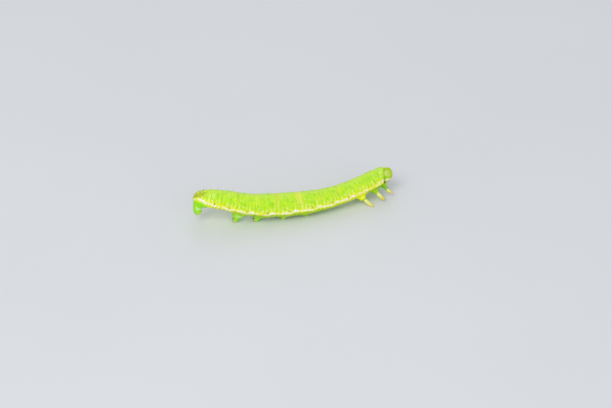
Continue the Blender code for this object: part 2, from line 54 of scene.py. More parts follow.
# Body segments from tail to head: name, length, radius (mm), pitch, heading (degrees), folds
SEGMENTS = (
    ("abdomen_10", 1.20, 1.14, 8.0, -16.0, 2),
    ("abdomen_9", 0.85, 1.29, 3.0, -16.0, 2),
    ("abdomen_8", 1.98, 1.33, -7.0, -16.0, 4),
    ("abdomen_7", 2.20, 1.47, -15.0, -15.5, 4),
    ("abdomen_6", 2.57, 1.51, -12.0, -12.0, 5),
    ("abdomen_5", 2.90, 1.66, -6.0, -7.0, 5),
    ("abdomen_4", 3.22, 1.70, -3.5, -3.5, 6),
    ("abdomen_3", 3.18, 1.63, -3.5, 1.5, 6),
    ("abdomen_2", 2.65, 1.51, 2.0, 7.0, 5),
    ("abdomen_1", 2.45, 1.42, 5.0, 11.0, 4),
    ("thorax_3", 2.15, 1.38, 8.5, 13.0, 4),
    ("thorax_2", 2.00, 1.37, 10.5, 14.0, 4),
    ("thorax_1", 1.20, 1.31, 4.0, 15.0, 3),
)
TAIL_TIP = np.array([-14.465, 1.4546, 3.57])
AXIS_STEP, AXIS_SMOOTHING = 0.05, 1.6
TAIL_ROUNDING = 1.5
COLLAR_LENGTH, COLLAR_NARROWING = 0.70, 0.24
NECK_TURN, NECK_BOW = 28.0, 8.0  # of the neck to the right and down from the body's way
NECK_RADIUS = 1.03
RIDGE_TAIL, RIDGE_HEAD = 114.0, 100.0
RIDGE_SPREAD, RIDGE_HEIGHT = 9.0, 0.07
BELLY_START, BELLY_FLATTENING = 125.0, 0.07
SWELLING = (0.16, 0.95, 24.0)

# Prolegs: segment, base along it, the foot's shift towards the head, its spread from the middle
# plane (mm), and how much longer its root is from front to back
PROLEGS = (
    ("abdomen_6", 0.48, -1.57, 0.38, 1.62),
    ("abdomen_5", 0.52, -1.47, 0.40, 1.62),
    ("abdomen_4", 0.36, -0.16, 0.44, 1.25),
    ("abdomen_3", 0.27, 0.22, 0.44, 1.25),
)
PROLEG_ANGLE, PROLEG_ROOT_DEPTH = 150.0, 0.55
PROLEG_SECTIONS = (
    (0.00, 0.80, 0.42),
    (0.18, 0.88, 0.46),
    (0.36, 0.80, 0.44),
    (0.54, 0.58, 0.38),
    (0.70, 0.42, 0.31),
    (0.84, 0.32, 0.27),
    (0.93, 0.37, 0.31),
    (1.00, 0.33, 0.27),
)
CLASPER_PLACE, CLASPER_ANGLE = 0.64, 140.0
CLASPER_SPREAD, CLASPER_SHIFT, CLASPER_SOLE = 0.58, 0.02, 1.44
CLASPER_SECTIONS = (
    (0.00, 0.44, 0.40),
    (0.25, 0.60, 0.46),
    (0.45, 0.67, 0.47),
    (0.65, 0.66, 0.44),
    (0.82, 0.56, 0.38),
    (0.93, 0.47, 0.36),
    (1.00, 0.34, 0.27),
)
KNEE_HEIGHT, KNEE_LEAN = 0.45, 0.40

# Thoracic legs: segment, base along it, the way to the tip, ahead, outwards and down, the radius
# of the fleshy base (mm), and the leg's girth as a share of LEG_WIDTHS
LEGS = (
    ("thorax_3", 0.43, 1.20, 1.88, None, 0.56, 0.94),
    ("thorax_2", 0.49, 0.76, 1.76, 0.80, 0.50, 0.92),
    ("thorax_1", 0.42, 0.77, 1.52, 0.66, 0.38, 0.80),
)
LEG_BASE_END, LEG_BASE_FADE = 0.34, 0.20
LEG_ANGLE, LEG_ROOT_DEPTH, LEG_ARCH = 150.0, 0.35, 0.42
CLAW_START, CLAW_BEND = 0.75, 0.10
CLAW_ROOT, CLAW_RADIUS, CLAW_HOOK = 0.89, 0.075, 0.07
# A ring of a leg: share of its length, and girth there
LEG_RING = ((0.0, 0.72), (0.08, 0.92), (0.30, 1.0), (0.80, 0.99), (0.93, 1.03), (1.0, 0.74))
LEG_TIP_HEIGHT = 0.05  # of a standing leg's tip, over the floor
LEG_WIDTHS = ((0.0, 0.34), (0.25, 0.325), (0.52, 0.29), (0.75, 0.22), (0.90, 0.13), (1.0, 0.06))
LEG_STUB_END = 0.25  # of the part that the skin makes
# A leg's pieces: start and end along it, and how far each swells over the line of widths
LEG_PIECES = ((0.16, 0.32, 0.98), (0.30, 0.54, 1.03), (0.52, 0.76, 1.03), (0.74, 0.92, 1.04))

# On each pair of legs, from the first: where its green ends, and how golden it is towards the tip
LEG_TONES = {"1": (0.44, 1.0), "2": (0.26, 1.0), "3": (0.28, 0.5)}

# The head, in its own directions: forward, left and up
HEAD_HALF = (0.92, 1.08, 1.08)
HEAD_AHEAD, HEAD_RAISE, HEAD_PITCH = 0.32, 0.14, -34.0
SUTURE_DEPTH, SUTURE_WIDTH = 0.11, 0.13
SUTURE_END, SUTURE_FADE = -0.1, 0.5
CHEEK_NARROWING = 0.16
FRONS_TOP, FRONS_FOOT = (0.0, 0.22), (0.36, -0.50)  # across and up: the triangle of the face
# Lines of the face: their two ends, half width, and how strong
FACE_LINES = (
    (FRONS_TOP, FRONS_FOOT, 0.030, 1.0),
    ((0.0, 0.36), (0.47, -0.52), 0.026, 0.6),
    ((0.0, -0.46), (0.42, -0.50), 0.030, 1.0),
)
LINE_DEPTH, FRONS_DENT, STEMMATA_BULGE = 0.035, 0.030, 0.030
SOCKET_RIM, SOCKET_PIT, MOUTH_RISE = 0.035, 0.06, 0.26
STEMMA_RADIUS = 0.068
STEMMATA = ((0.80, -0.14), (0.72, -0.24), (0.67, -0.36), (0.66, -0.49), (0.78, -0.58), (0.86, -0.42))
ANTENNA_BASE, ANTENNA_LEAN = (0.60, -0.70), 0.4
# A feeler's rings: radius at either end and length (mm), and how dark
ANTENNA_RINGS = (
    (0.19, 0.17, 0.18, 0.05), (0.150, 0.135, 0.17, 0.35), (0.105, 0.095, 0.34, 0.5),
    (0.055, 0.045, 0.13, 0.8),
)
BRISTLE_LENGTH, BRISTLE_RISE, BRISTLE_RADIUS = 0.42, 0.06, 0.010
LABRUM_HALF, LABRUM_PLACE = (0.13, 0.31, 0.16), (0.66, 0.0, -0.72)
CLYPEUS_HALF, CLYPEUS_PLACE = (0.11, 0.36, 0.10), (0.70, 0.0, -0.57)
PALP_PLACE, PALP_HALF = (-0.06, 0.26, -0.98), (0.17, 0.17, 0.30)
LABIUM_PLACE, LABIUM_HALF = (-0.12, 0.0, -0.98), (0.17, 0.15, 0.30)
SPINNERET_PLACE, SPINNERET_LEAN = (-0.10, 0.0, -1.22), 0.35
MANDIBLE_PLACE, MANDIBLE_HALF = (0.46, 0.30, -0.98), (0.21, 0.22, 0.36)
# Tubes and rings of the mouth: ways along and radii
SPINNERET_TUBE = ((0.0, 0.075), (0.05, 0.07), (0.10, 0.05), (0.24, 0.036), (0.26, 0.022))
LABIAL_PALP = ((0.0, 0.035), (0.07, 0.033), (0.09, 0.02), (0.14, 0.012))
MAXILLA_RINGS = ((0.100, 0.13), (0.080, 0.11), (0.055, 0.10))  # radius and length of each

# The skin's own forms, in mm and degrees
VOXEL = 0.060
RAY_START = 2.6  # of a ray from outside the skin to a place on it, from the axis
FOLD_DEPTH, FOLD_ROUNDNESS, FOLD_END, FOLD_FADE = 0.052, 0.60, 128.0, 26.0
FOLD_WANDER = 0.055
CREASE_DEPTH, CREASE_WIDTH, CREASE_CORE = 0.055, 0.15, 0.055
SIDE_GROOVE = (0.035, 17.0, 5.5)  # above the stripe: depth, angle over it and half width
LOW_GROOVE = (0.8, 19.0, 7.0)  # under it: depth as a share of the other's, angle and half width
STRIPE_LINE = ((0.6, 58), (1.2, 68), (2.0, 90), (3.5, 103), (6.0, 108), (9.5, 109), (12.5, 103),
               (16.0, 95), (21.0, 94), (25.0, 95), (28.7, 91))
STRIPE_PALE = ((0.5, 0.30), (1.4, 0.9), (4.0, 0.9), (5.5, 1.0), (22.5, 1.0), (24.0, 0.45), (27.0, 0.45),
               (27.5, 1.0))
STRIPE_SWING = ((0, 0.0), (2, 0.6), (3, 1.0), (8, 1.0), (10, 0.5), (12, 0.3))  # by segment, from the tail
STRIPE_DIP, STRIPE_RISE = (0.55, 0.15, 5.5), (0.80, 0.10, 6.0)  # share of a segment, spread, degrees
SPIRACLE_SHARE, SPIRACLE_OVER, NECK_SPIRACLE_SHARE = 0.54, 15.0, 0.05
SPIRACLE_SEGMENTS = tuple(f"abdomen_{k}" for k in range(1, 9)) + ("thorax_1",)
SPIRACLE_HALF = (0.068, 0.110)
RIM_RISE, RIM_RADIUS = 0.012, 0.019
LIP_SHARE, SLIT = 0.85, 0.010  # of a spiracle's lips, and half the slit between them
LIP_STEPS = ((1.0, -0.05), (1.0, 0.002), (0.7, 0.012), (0.25, 0.014))  # how large and how high
# How dark the spiracles are, where it isn't 1
SPIRACLE_TONES = {"abdomen_7": 0.8, "abdomen_6": 0.5, "abdomen_5": 0.8, "abdomen_4": 0.5, "abdomen_3": 0.5,
                  "abdomen_2": 0.45, "abdomen_1": 0.5, "thorax_1": 0.0}
# The ring at each border between segments, from the tail: its strength, half width and rosiness
RINGS = (
    (0.10, 0.10, 0.3), (0.30, 0.10, 0.3), (0.35, 0.07, 0.8), (0.50, 0.07, 0.7),
    (1.00, 0.09, 0.0), (0.65, 0.26, 0.6), (1.00, 0.34, 0.25), (0.40, 0.14, 0.6),
    (0.60, 0.09, 0.8), (0.40, 0.18, 0.1), (0.12, 0.10, 0.2), (0.08, 0.10, 0.2),
)
# Along the body from the tail (mm): how yellow the skin is under the stripe, how golden the stripe's
# edges are, and how wide it is
UNDER_TONES = ((0.0, 0.25), (2.2, 1.0), (5.6, 1.0), (7.0, 0.42), (17.0, 0.42), (20.5, 0.60), (23.3, 1.0),
               (24.7, 1.0), (25.1, 0.42), (26.0, 0.38), (27.6, 0.02))
GOLD = ((0.0, 0.0), (1.8, 0.1), (2.4, 0.9), (3.8, 0.8), (5.0, 0.45), (21.0, 0.40), (23.6, 0.9), (25.2, 1.0),
        (26.2, 0.75), (26.7, 1.0), (27.3, 0.3), (28.6, 0.1))
STRIPE_WIDTHS = ((0.0, 1.3), (2.0, 1.4), (4.5, 1.3), (8.5, 1.3), (10.0, 1.1), (22.0, 1.1), (23.6, 1.2),
                 (25.2, 1.1), (26.0, 0.9), (26.6, 1.2), (27.1, 2.0), (28.6, 2.1))
# Single spots: place along the body, angle, half length and half height (mm)
PALE_SPOTS = (
    (27.68, 24, 0.22, 0.20), (27.48, 48, 0.13, 0.12), (27.00, 32, 0.14, 0.11), (26.79, 50, 0.10, 0.12),
    (2.43, 38, 0.085, 0.46), (2.77, 35, 0.085, 0.42), (3.00, 30, 0.075, 0.28), (5.10, 30, 0.05, 0.22),
    (0.65, 48, 0.09, 0.09), (1.33, 44, 0.09, 0.09), (1.67, 24, 0.09, 0.09), (0.10, 68, 0.14, 0.12),
)
WHITE_SPOTS = (
    (1.26, 64, 0.26, 0.17), (1.62, 72, 0.22, 0.20), (1.92, 90, 0.22, 0.20), (2.70, 94, 0.24, 0.12),
    (3.25, 102, 0.20, 0.12), (3.73, 104, 0.20, 0.11), (27.05, 91, 0.30, 0.22), (27.62, 86, 0.30, 0.28),
)
YELLOW_WARTS = ((1.81, 4, 0.22, 0.20), (0.92, 8, 0.20, 0.16))
BROWN_SPOTS = ((0.85, 32, 0.12, 0.11), (1.47, 26, 0.13, 0.12))
SPOTS = {
    "pale_spots": PALE_SPOTS,
    "white_spots": WHITE_SPOTS,
    "warts": YELLOW_WARTS,
    "brown_spots": BROWN_SPOTS,
}
WART_HEIGHT, PLATE_HEIGHT, SPIRACLE_SWELLING, SPIRACLE_PIT = 0.045, 0.018, 0.026, 0.020
RUSTY_START, RUSTY_END, RUSTY_ANGLE = 0.9, 2.0, 52.0  # the brown mottle behind the tail plate
# The rim that closes round the head: how far ahead of the body's front, and how much narrower
RIM = ((0.07, 0.0), (0.11, 0.03), (0.12, 0.08), (0.08, 0.14), (0.0, 0.20))
LEG_JOIN_REACH, LEG_JOIN_WEIGHT, LEG_JOIN_ROUNDS = 1.5, 0.6, 24  # of the smoothing where legs leave the body
PROLEG_REACH, PROLEG_FOLDS, PROLEG_FOLD_DEPTH = 2.6, 8.5, 0.040
# The hooks of a foot: place along the proleg, turn either way, two sizes, path and radii
HOOKS_AT, HOOKS_TURN, HOOK_SIZES = 0.955, 74.0, (0.095, 0.115)
HOOK_PATH = ((-0.02, 0.02), (0.22, -0.02), (0.42, -0.22), (0.46, -0.46), (0.30, -0.62))
HOOK_RADII = (0.015, 0.015, 0.013, 0.010, 0.004)
# Hairs of a body segment: share of its length, angle from the back, length (mm)
HAIRS = (
    (0.28, 14, 0.42),
    (0.70, 28, 0.50),
    (0.42, 60, 0.46),
    (0.30, 80, 0.34),
    (0.34, 114, 0.42),
    (0.70, 124, 0.40),
    (0.50, 140, 0.38),
    (0.50, 168, 0.30),
)
KNOB = ((-0.03, 0.046), (0.004, 0.042), (0.013, 0.026), (0.018, 0.012))  # the wart that a hair stands on
HAIR_RADIUS, FINE_HAIR_RADIUS = 0.010, 0.009
LEG_HAIRS = (0.20, 0.24, 0.40, 0.45, 0.48, 0.62, 0.68, 0.72, 0.83, 0.87)  # places along a leg
# Hairs of the face, as across, up and length
HEAD_HAIRS = (
    (0.22, 0.72, 0.40), (0.50, 0.58, 0.46), (0.36, 0.30, 0.42), (0.70, 0.34, 0.40), (0.26, -0.08, 0.34),
    (0.46, -0.16, 0.42), (0.88, 0.02, 0.40), (0.18, -0.40, 0.30), (0.55, -0.62, 0.36), (0.84, -0.26, 0.30),
)


# Small helpers


def bell(distance, width):
    return np.exp(-((distance / width) ** 2))


def smooth(value):
    """0 below 0, 1 above 1, and a smooth step between."""
    value = np.clip(value, 0.0, 1.0)
    return value * value * (3.0 - 2.0 * value)


def unit(vectors):
    return vectors / np.linalg.norm(vectors, axis=-1, keepdims=True)


def circle(across, beside, sides):
    """Points of a circle of radius 1 in the plane of two directions."""
    a = (np.arange(sides) * (2 * math.pi / sides))[:, None]
    return across * np.cos(a) + beside * np.sin(a)


def waver(points, scale, seed):
    """Smooth noise between -1 and 1 at each point."""
    places = (np.asarray(points) * scale + seed).tolist()
    return np.array([noise.noise(place) for place in places])


def along_table(value, table, column=1):
    return np.interp(value, [row[0] for row in table], [row[column] for row in table])


def spots_mark(s, angle, radius, spots):
    """How much each point lies in one of the spots, which are soft ovals."""
    mark = np.zeros(len(s))
    for place, spot_angle, long, high in spots:
        away = np.hypot((s - place) / long, np.radians(angle - spot_angle) * radius / high)
        mark = np.maximum(mark, bell(away, 0.9))
    return mark


# The body's axis and smooth shape

NAMES = [row[0] for row in SEGMENTS]
LENGTHS = np.array([row[1] for row in SEGMENTS])
FOLDS = np.array([row[5] for row in SEGMENTS])
BORDERS = np.concatenate([[0.0], np.cumsum(LENGTHS)])
BODY_LENGTH = BORDERS[-1]
MIDDLES = (BORDERS[:-1] + BORDERS[1:]) / 2
AXIS_AT = np.arange(-1.0, BODY_LENGTH + 2.0, AXIS_STEP)


def smooth_along_axis(column):
    """A column of SEGMENTS as a smooth series over AXIS_AT."""
    values = np.interp(AXIS_AT, MIDDLES, [row[column] for row in SEGMENTS])
    window = int(AXIS_SMOOTHING / AXIS_STEP) // 2 * 2 + 1
    padded = np.pad(values, window // 2, mode="edge")
    return np.convolve(padded, np.ones(window) / window, mode="valid")


def way_of(pitch, heading):
    """The direction with a pitch and a heading, in radians."""
    level = np.cos(pitch)
    return np.stack([level * np.cos(heading), level * np.sin(heading), np.sin(pitch)], axis=-1)


RADII = smooth_along_axis(2)
PITCH = np.radians(smooth_along_axis(3))
HEADING = np.radians(smooth_along_axis(4))
PATH = np.cumsum(way_of(PITCH, HEADING), axis=0) * AXIS_STEP
PATH -= [np.interp(0.0, AXIS_AT, PATH[:, k]) for k in range(3)]


def axis_radius(s):
    return np.interp(s, AXIS_AT, RADII)


def axis_at(s):
    return TAIL_TIP + np.stack([np.interp(s, AXIS_AT, PATH[:, k]) for k in range(3)], axis=-1)


def directions_at(s, nod=0.0, yaw=0.0):
    """Forward, left and up at s, pitched and turned further by nod and yaw degrees."""
    pitch = np.interp(s, AXIS_AT, PITCH) + math.radians(nod)
    heading = np.interp(s, AXIS_AT, HEADING) + math.radians(yaw)
    forward = way_of(pitch, heading)
    left = np.stack([-np.sin(heading), np.cos(heading), np.zeros_like(heading)], axis=-1)
    return forward, left, np.cross(forward, left)


def segment_place(name, share):
    i = NAMES.index(name)
    return BORDERS[i] + share * LENGTHS[i]


LEG_BASES = (
    [(segment_place(name, share), LEG_ANGLE) for name, share, *_ in LEGS]
    + [(segment_place(name, share), PROLEG_ANGLE) for name, share, *_ in PROLEGS]
    + [(CLASPER_PLACE, CLASPER_ANGLE)]
)


def neck_slant(turn):
    """How much further than the axis the body reaches at turn to meet the turned head."""
    sideways, down, a = math.radians(NECK_TURN), math.radians(NECK_BOW), np.radians(turn)
    slope = math.tan(sideways) * np.sin(a) + math.tan(down) / math.cos(sideways) * np.cos(a)
    return NECK_RADIUS * slope


def before_neck(s, turn):
    """The way from s to the slanted front of the body, at turn."""
    return BODY_LENGTH + neck_slant(turn) - s


def unslanted(s, turn):
    """s as it would be if the first thorax segment weren't slanted towards the head."""
    start = BORDERS[-2]
    return np.where(s > start, start + (s - start) / (1.0 + neck_slant(turn) / LENGTHS[-1]), s)


def body_radius(s, turn):
    """The smooth body's radius at s. turn runs from the back, 0, and is negative on the right."""
    s, turn = np.broadcast_arrays(np.asarray(s, float), np.asarray(turn, float))
    angle = np.where(np.abs(turn) > 180.0, 360.0 - np.abs(turn), np.abs(turn))
    blunt = np.clip(1.0 - s / TAIL_ROUNDING, 0.0, 1.0)
    radius = axis_radius(s) * np.sqrt(1.0 - blunt**2)
    collar = np.clip(1.0 - before_neck(s, turn) / COLLAR_LENGTH, 0.0, 1.0)
    radius = radius * (1.0 - COLLAR_NARROWING * collar**2)
    along = np.clip(s / TAIL_ROUNDING, 0.0, 1.0)
    ridge = RIDGE_TAIL + (RIDGE_HEAD - RIDGE_TAIL) * s / BODY_LENGTH
    radius += RIDGE_HEIGHT * bell(angle - ridge, RIDGE_SPREAD) * along
    radius *= 1.0 - BELLY_FLATTENING * smooth((angle - BELLY_START) / (180.0 - BELLY_START))
    height, length, half_angle = SWELLING
    for place, base_angle in LEG_BASES:
        radius += height * along * bell(s - place, length) * bell(angle - base_angle, half_angle)
    return radius


def on_body(s, turn, outwards=0.0):
    """A point of the smooth body. turn runs from the back, 0, over the left side, and is negative right."""
    _, left, up = directions_at(s)
    reach = np.asarray(body_radius(s, turn) + outwards)[..., None]
    a = np.radians(np.asarray(turn, float))[..., None]
    return axis_at(s) + (left * np.sin(a) + up * np.cos(a)) * reach


def locate(points):
    """For points near the body: place along the axis, turn from the back and distance from the axis."""
    coarse = AXIS_AT[::4]
    line = axis_at(coarse)
    nearest = [((block[:, None] - line) ** 2).sum(-1).argmin(1) for block in np.array_split(points, 40)]
    s = coarse[np.concatenate(nearest)]
    for _ in range(6):
        forward = directions_at(s)[0]
        s = np.clip(s + ((points - axis_at(s)) * forward).sum(-1), 0.0, BODY_LENGTH + 1.0)
    _, left, up = directions_at(s)
    away = points - axis_at(s)
    turn = np.degrees(np.arctan2((away * left).sum(-1), (away * up).sum(-1)))
    return s, turn, np.linalg.norm(away, axis=-1)


def stripe_angle(s):
    """The angle of the pale stripe's middle, which dips and rises within each segment."""
    s = np.asarray(s, float)
    i = np.clip(np.searchsorted(BORDERS, s, side="right") - 1, 0, len(SEGMENTS) - 1)
    share = (s - BORDERS[i]) / LENGTHS[i]
    swing = along_table(i, STRIPE_SWING)
    dip = STRIPE_DIP[2] * bell(share - STRIPE_DIP[0], STRIPE_DIP[1])
    rise = STRIPE_RISE[2] * bell(share - STRIPE_RISE[0], STRIPE_RISE[1])
    return along_table(s, STRIPE_LINE) + swing * (dip - rise)


def spiracle_place(name):
    place = segment_place(name, NECK_SPIRACLE_SHARE if name == NAMES[-1] else SPIRACLE_SHARE)
    return place, float(stripe_angle(place)) - SPIRACLE_OVER


SPIRACLES = [spiracle_place(name) for name in SPIRACLE_SEGMENTS]


# Routes of the legs


def bow(start, middle, end, share):
    """Points of the quadratic curve that leaves start towards middle and arrives at end."""
    share = np.asarray(share, float)[..., None]
    return start * (1 - share) ** 2 + middle * (2 * share * (1 - share)) + end * share**2


class Proleg:
    """The route and the sections of one proleg."""

    def __init__(self, place, angle, side, sole, sections):
        forward, self.left, _ = directions_at(place)
        self.side, self.sole, self.sections = side, sole, sections
        self.root = on_body(place, side * angle, -PROLEG_ROOT_DEPTH)
        over_sole = np.array([sole[0], sole[1], sole[2] + (self.root[2] - sole[2]) * KNEE_HEIGHT])
        self.knee = over_sole * (1 - KNEE_LEAN) + self.root * KNEE_LEAN
        self.level = unit(np.array([forward[0], forward[1], 0.0]))

    def middle(self, share):
        return bow(self.root, self.knee, self.sole, share)

    def ring(self, share, turns, scale=1.0):
        """Points round the proleg. A turn of 0 is ahead, and of 90 to the left."""
        long = along_table(share, self.sections, 1) * scale
        wide = along_table(share, self.sections, 2) * scale
        a = np.radians(turns)[:, None]
        return self.middle(share) + self.level * long * np.cos(a) + self.left * wide * np.sin(a)


def make_prolegs():
    prolegs = []
    for side in SIDES:
        for name, share, shift, spread, stretch in PROLEGS:
            place = segment_place(name, share)
            sole = axis_at(place + shift) + directions_at(place + shift)[1] * (side * spread)
            sole[2] = 0.0
            sections = [
                (along, long * (1.0 + (stretch - 1.0) * (1.0 - along**2)), wide)
                for along, long, wide in PROLEG_SECTIONS
            ]
            prolegs.append(Proleg(place, PROLEG_ANGLE, side, sole, sections))
        place = CLASPER_PLACE + CLASPER_SHIFT
        sole = axis_at(place) + directions_at(place)[1] * (side * CLASPER_SPREAD)
        sole[2] = CLASPER_SOLE
        prolegs.append(Proleg(CLASPER_PLACE, CLASPER_ANGLE, side, sole, CLASPER_SECTIONS))
    return prolegs


class Leg:
    """The route of one thoracic leg."""

    def __init__(self, row, side):
        segment, share, ahead, outward, drop, self.base_radius, self.girth = row
        place = segment_place(segment, share)
        self.forward, self.left, self.up = directions_at(place)
        self.root = on_body(place, side * LEG_ANGLE, -LEG_ROOT_DEPTH)
        start = on_body(place, side * LEG_ANGLE)
        self.tip = start + self.forward * ahead + self.left * (side * outward)
        self.tip[2] = LEG_TIP_HEIGHT if drop is None else start[2] - drop
        self.knee = (self.root + self.tip) / 2 + (self.left * side - self.up) * LEG_ARCH

    def middle(self, share):
        share = np.asarray(share, float)
        hook = np.clip((share - CLAW_START) / (1.0 - CLAW_START), 0.0, None)[..., None]
        return bow(self.root, self.knee, self.tip, share) - self.forward * (CLAW_BEND * hook)

    def width(self, share):
        return along_table(share, LEG_WIDTHS) * self.girth

    def base_width(self, share):
        """The radius of the fleshy base, which belongs to the skin."""
        in_base = smooth((LEG_BASE_END - share) / LEG_BASE_FADE)
        return self.width(share) * (1.0 - in_base) + self.base_radius * in_base


PROLEG_ROUTES = make_prolegs()
LEG_ROUTES = {(row[0][7:], side): Leg(row, side) for row in LEGS for side in SIDES}


# Meshes


OFF_LINE, ASKEW = (0.013, 0.007, 0.011), (0.31, 0.22, 0.93)  # so that no cross product is nothing


class Shells:
    """The points and faces of one piece, gathered shell by shell, with marks for its finish."""

    def __init__(self):
        self.points, self.faces, self.marks, self.count = [], [], {}, 0

    def add(self, points, faces, **marks):
        self.points.append(points)
        self.faces += [[k + self.count for k in face] for face in faces]
        for name, value in marks.items():
            self.marks.setdefault(name, []).append(np.broadcast_to(value, len(points)))
        self.count += len(points)

    def loft(self, rings, closed=False, **marks):
        """A shell through rings with as many points each: capped, or joined end to end."""
        rows, count = len(rings), len(rings[0])
        at = np.arange(rows * count).reshape(rows, count)
        low, high = (at, np.roll(at, -1, axis=0)) if closed else (at[:-1], at[1:])
        sides = [low, np.roll(low, -1, axis=1), np.roll(high, -1, axis=1), high]
        faces = np.stack(sides, axis=-1).reshape(-1, 4).tolist()
        if not closed:
            faces += [at[0].tolist(), at[-1].tolist()]
        spread = {
            name: np.repeat(value, count) if np.ndim(value) else value for name, value in marks.items()
        }
        self.add(np.concatenate(rings), faces, **spread)

    def sweep(self, path, radii, sides=8, closed=False, **marks):
        """A tube along a path, with a radius at each of its points."""
        path = np.asarray(path, float)
        ahead = np.roll(path, -1, axis=0) - np.roll(path, 1, axis=0)
        if not closed:
            ahead[0], ahead[-1] = path[1] - path[0], path[-1] - path[-2]
        ahead = unit(ahead)
        normal = unit(np.cross(path[1] - path[0], path[-2] - path[0] + OFF_LINE))
        across = unit(np.cross(ahead, normal))
        beside = np.cross(ahead, across)
        rows = zip(path, np.broadcast_to(radii, len(path)), across, beside)
        rings = [place + radius * circle(x, y, sides) for place, radius, x, y in rows]
        self.loft(rings, closed, **marks)

    def turned(self, start, way, profile, sides=12, **marks):
        """A turned shell: profile holds distances along way and radii."""
        way = unit(np.asarray(way, float))
        across = unit(np.cross(way, ASKEW))
        round_it = circle(across, np.cross(way, across), sides)
        self.loft([start + way * reach + round_it * radius for reach, radius in profile], **marks)

    def mesh(self, name, scale=MM):
        data = bpy.data.meshes.new(name)
        data.from_pydata((np.concatenate(self.points) * scale).tolist(), [], self.faces)
        for mark, values in self.marks.items():
            put_mark(data, mark, np.concatenate(values))
        work = bmesh.new()
        work.from_mesh(data)
        bmesh.ops.recalc_face_normals(work, faces=work.faces)
        work.to_mesh(data)
        work.free()
        data.shade_smooth()
        return data

    def piece(self, name, finish, slot, *nodes):
        return dress(bpy.data.objects.new(name, self.mesh(name)), finish, slot, *nodes)


def put_mark(data, name, values):
    """Stores a number, or a vector, for each point, for the finish to read."""
    values = np.asarray(values, np.float32)
    kind, key = ("FLOAT", "value") if values.ndim == 1 else ("FLOAT_VECTOR", "vector")
    data.attributes.new(name, kind, "POINT").data.foreach_set(key, values.ravel())


def dress(obj, finish, slot, *nodes):
    """Links a finished piece, which stands for the named solids."""
    bpy.context.scene.collection.objects.link(obj)
    obj.data.materials.append(finish)
    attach(obj, "root")
    if nodes:
        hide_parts(*nodes)
    return obj


def points_of(data, key="co"):
    flat = np.empty(len(data.vertices) * 3, np.float32)
    data.vertices.foreach_get(key, flat)
    return flat.reshape(-1, 3).astype(float)


def set_points(data, points):
    data.vertices.foreach_set("co", points.astype(np.float32).ravel())
    data.update()


def relax(points, edges, weight, rounds):
    """Moves each point towards the middle of its neighbours, by its weight, again and again."""
    count = len(points)
    one, two = edges.T
    degree = np.bincount(edges.ravel(), minlength=count)[:, None]
    for _ in range(rounds):
        total = np.stack(
            [
                np.bincount(one, points[two, k], count) + np.bincount(two, points[one, k], count)
                for k in range(3)
            ],
            axis=1,
        )
        points = points + weight[:, None] * (total / degree - points)
    return points


def unit_ball(cuts):
    """Points and faces of a ball with even faces, from a cube."""
    work = bmesh.new()
    bmesh.ops.create_cube(work, size=2.0)
    bmesh.ops.subdivide_edges(work, edges=work.edges[:], cuts=cuts, use_grid_fill=True)
    points = np.array([tuple(vert.co) for vert in work.verts])
    faces = [[vert.index for vert in face.verts] for face in work.faces]
    work.free()
    return unit(np.tan(points * (math.pi / 4))), faces


# The skin: one closed surface over the body, the prolegs and the roots of the legs


def skin_shells():
    """The body with its rim round the head, the prolegs and the roots of the legs, which overlap."""
    shells = Shells()
    turns = np.arange(0.0, 360.0, 3.75)
    turns = np.where(turns > 180.0, turns - 360.0, turns)
    tail = TAIL_ROUNDING * (1.0 - np.cos(np.linspace(0.03, math.pi / 2, 26)))
    places = np.concatenate([tail, np.arange(TAIL_ROUNDING + 0.1, BODY_LENGTH, 0.1), [BODY_LENGTH]])
    slant = neck_slant(turns)
    rings = []
    for s in places:
        near_head = max(0.0, 1.0 - (BODY_LENGTH - s) / LENGTHS[-1])
        rings.append(on_body(s + near_head * slant, turns))
    for ahead, narrowing in RIM:
        reach = body_radius(BODY_LENGTH + slant, turns)
        rings.append(on_body(BODY_LENGTH + slant + ahead, turns, -narrowing * reach))
    shells.loft(rings)
    round_turns = np.arange(0.0, 360.0, 10.0)
    for proleg in PROLEG_ROUTES:
        shells.loft([proleg.ring(share, round_turns) for share in np.linspace(0.0, 1.0, 30)])
    for leg in LEG_ROUTES.values():
        shares = np.linspace(0.0, LEG_STUB_END, 12)
        widths = (leg.base_width(shares) + 0.02) * np.sqrt(1.0 - (0.94 * shares / LEG_STUB_END) ** 8)
        shells.sweep(leg.middle(shares), widths, 24)
    return shells


def fused_skin():
    """The shells as one closed mesh of even faces, in mm."""
    obj = bpy.data.objects.new("larva_skin", skin_shells().mesh("larva_skin", 1.0))
    bpy.context.scene.collection.objects.link(obj)
    joined = obj.modifiers.new("one_surface", "REMESH")
    joined.mode = "VOXEL"
    joined.voxel_size = VOXEL
    graph = bpy.context.evaluated_depsgraph_get()
    data = bpy.data.meshes.new_from_object(obj.evaluated_get(graph))
    bpy.data.objects.remove(obj)
    return data


def nearest_on_proleg(points, proleg):
    """Share along the proleg's route of the place nearest to each point, and the distance to it."""
    shares = np.linspace(0.0, 1.0, 60)
    line = proleg.middle(shares)
    apart = np.linalg.norm(points[:, None] - line, axis=-1)
    best = apart.argmin(1)
    return shares[best], apart[np.arange(len(points)), best]


def proleg_marks(points, height):
    """How much each point belongs to a proleg, and where it is along it."""
    belongs, along = np.zeros(len(points)), np.zeros(len(points))
    for proleg in PROLEG_ROUTES:
        middle = proleg.middle(0.6)
        close = np.flatnonzero(np.linalg.norm(points - middle, axis=1) < PROLEG_REACH)
        share, apart = nearest_on_proleg(points[close], proleg)
        reach = along_table(share, proleg.sections, 1)
        mine = smooth((height[close] - 0.03) / 0.22) * smooth((reach + 0.30 - apart) / 0.15)
        better = mine > belongs[close]
        belongs[close[better]] = mine[better]
        along[close[better]] = share[better]
    return belongs, along


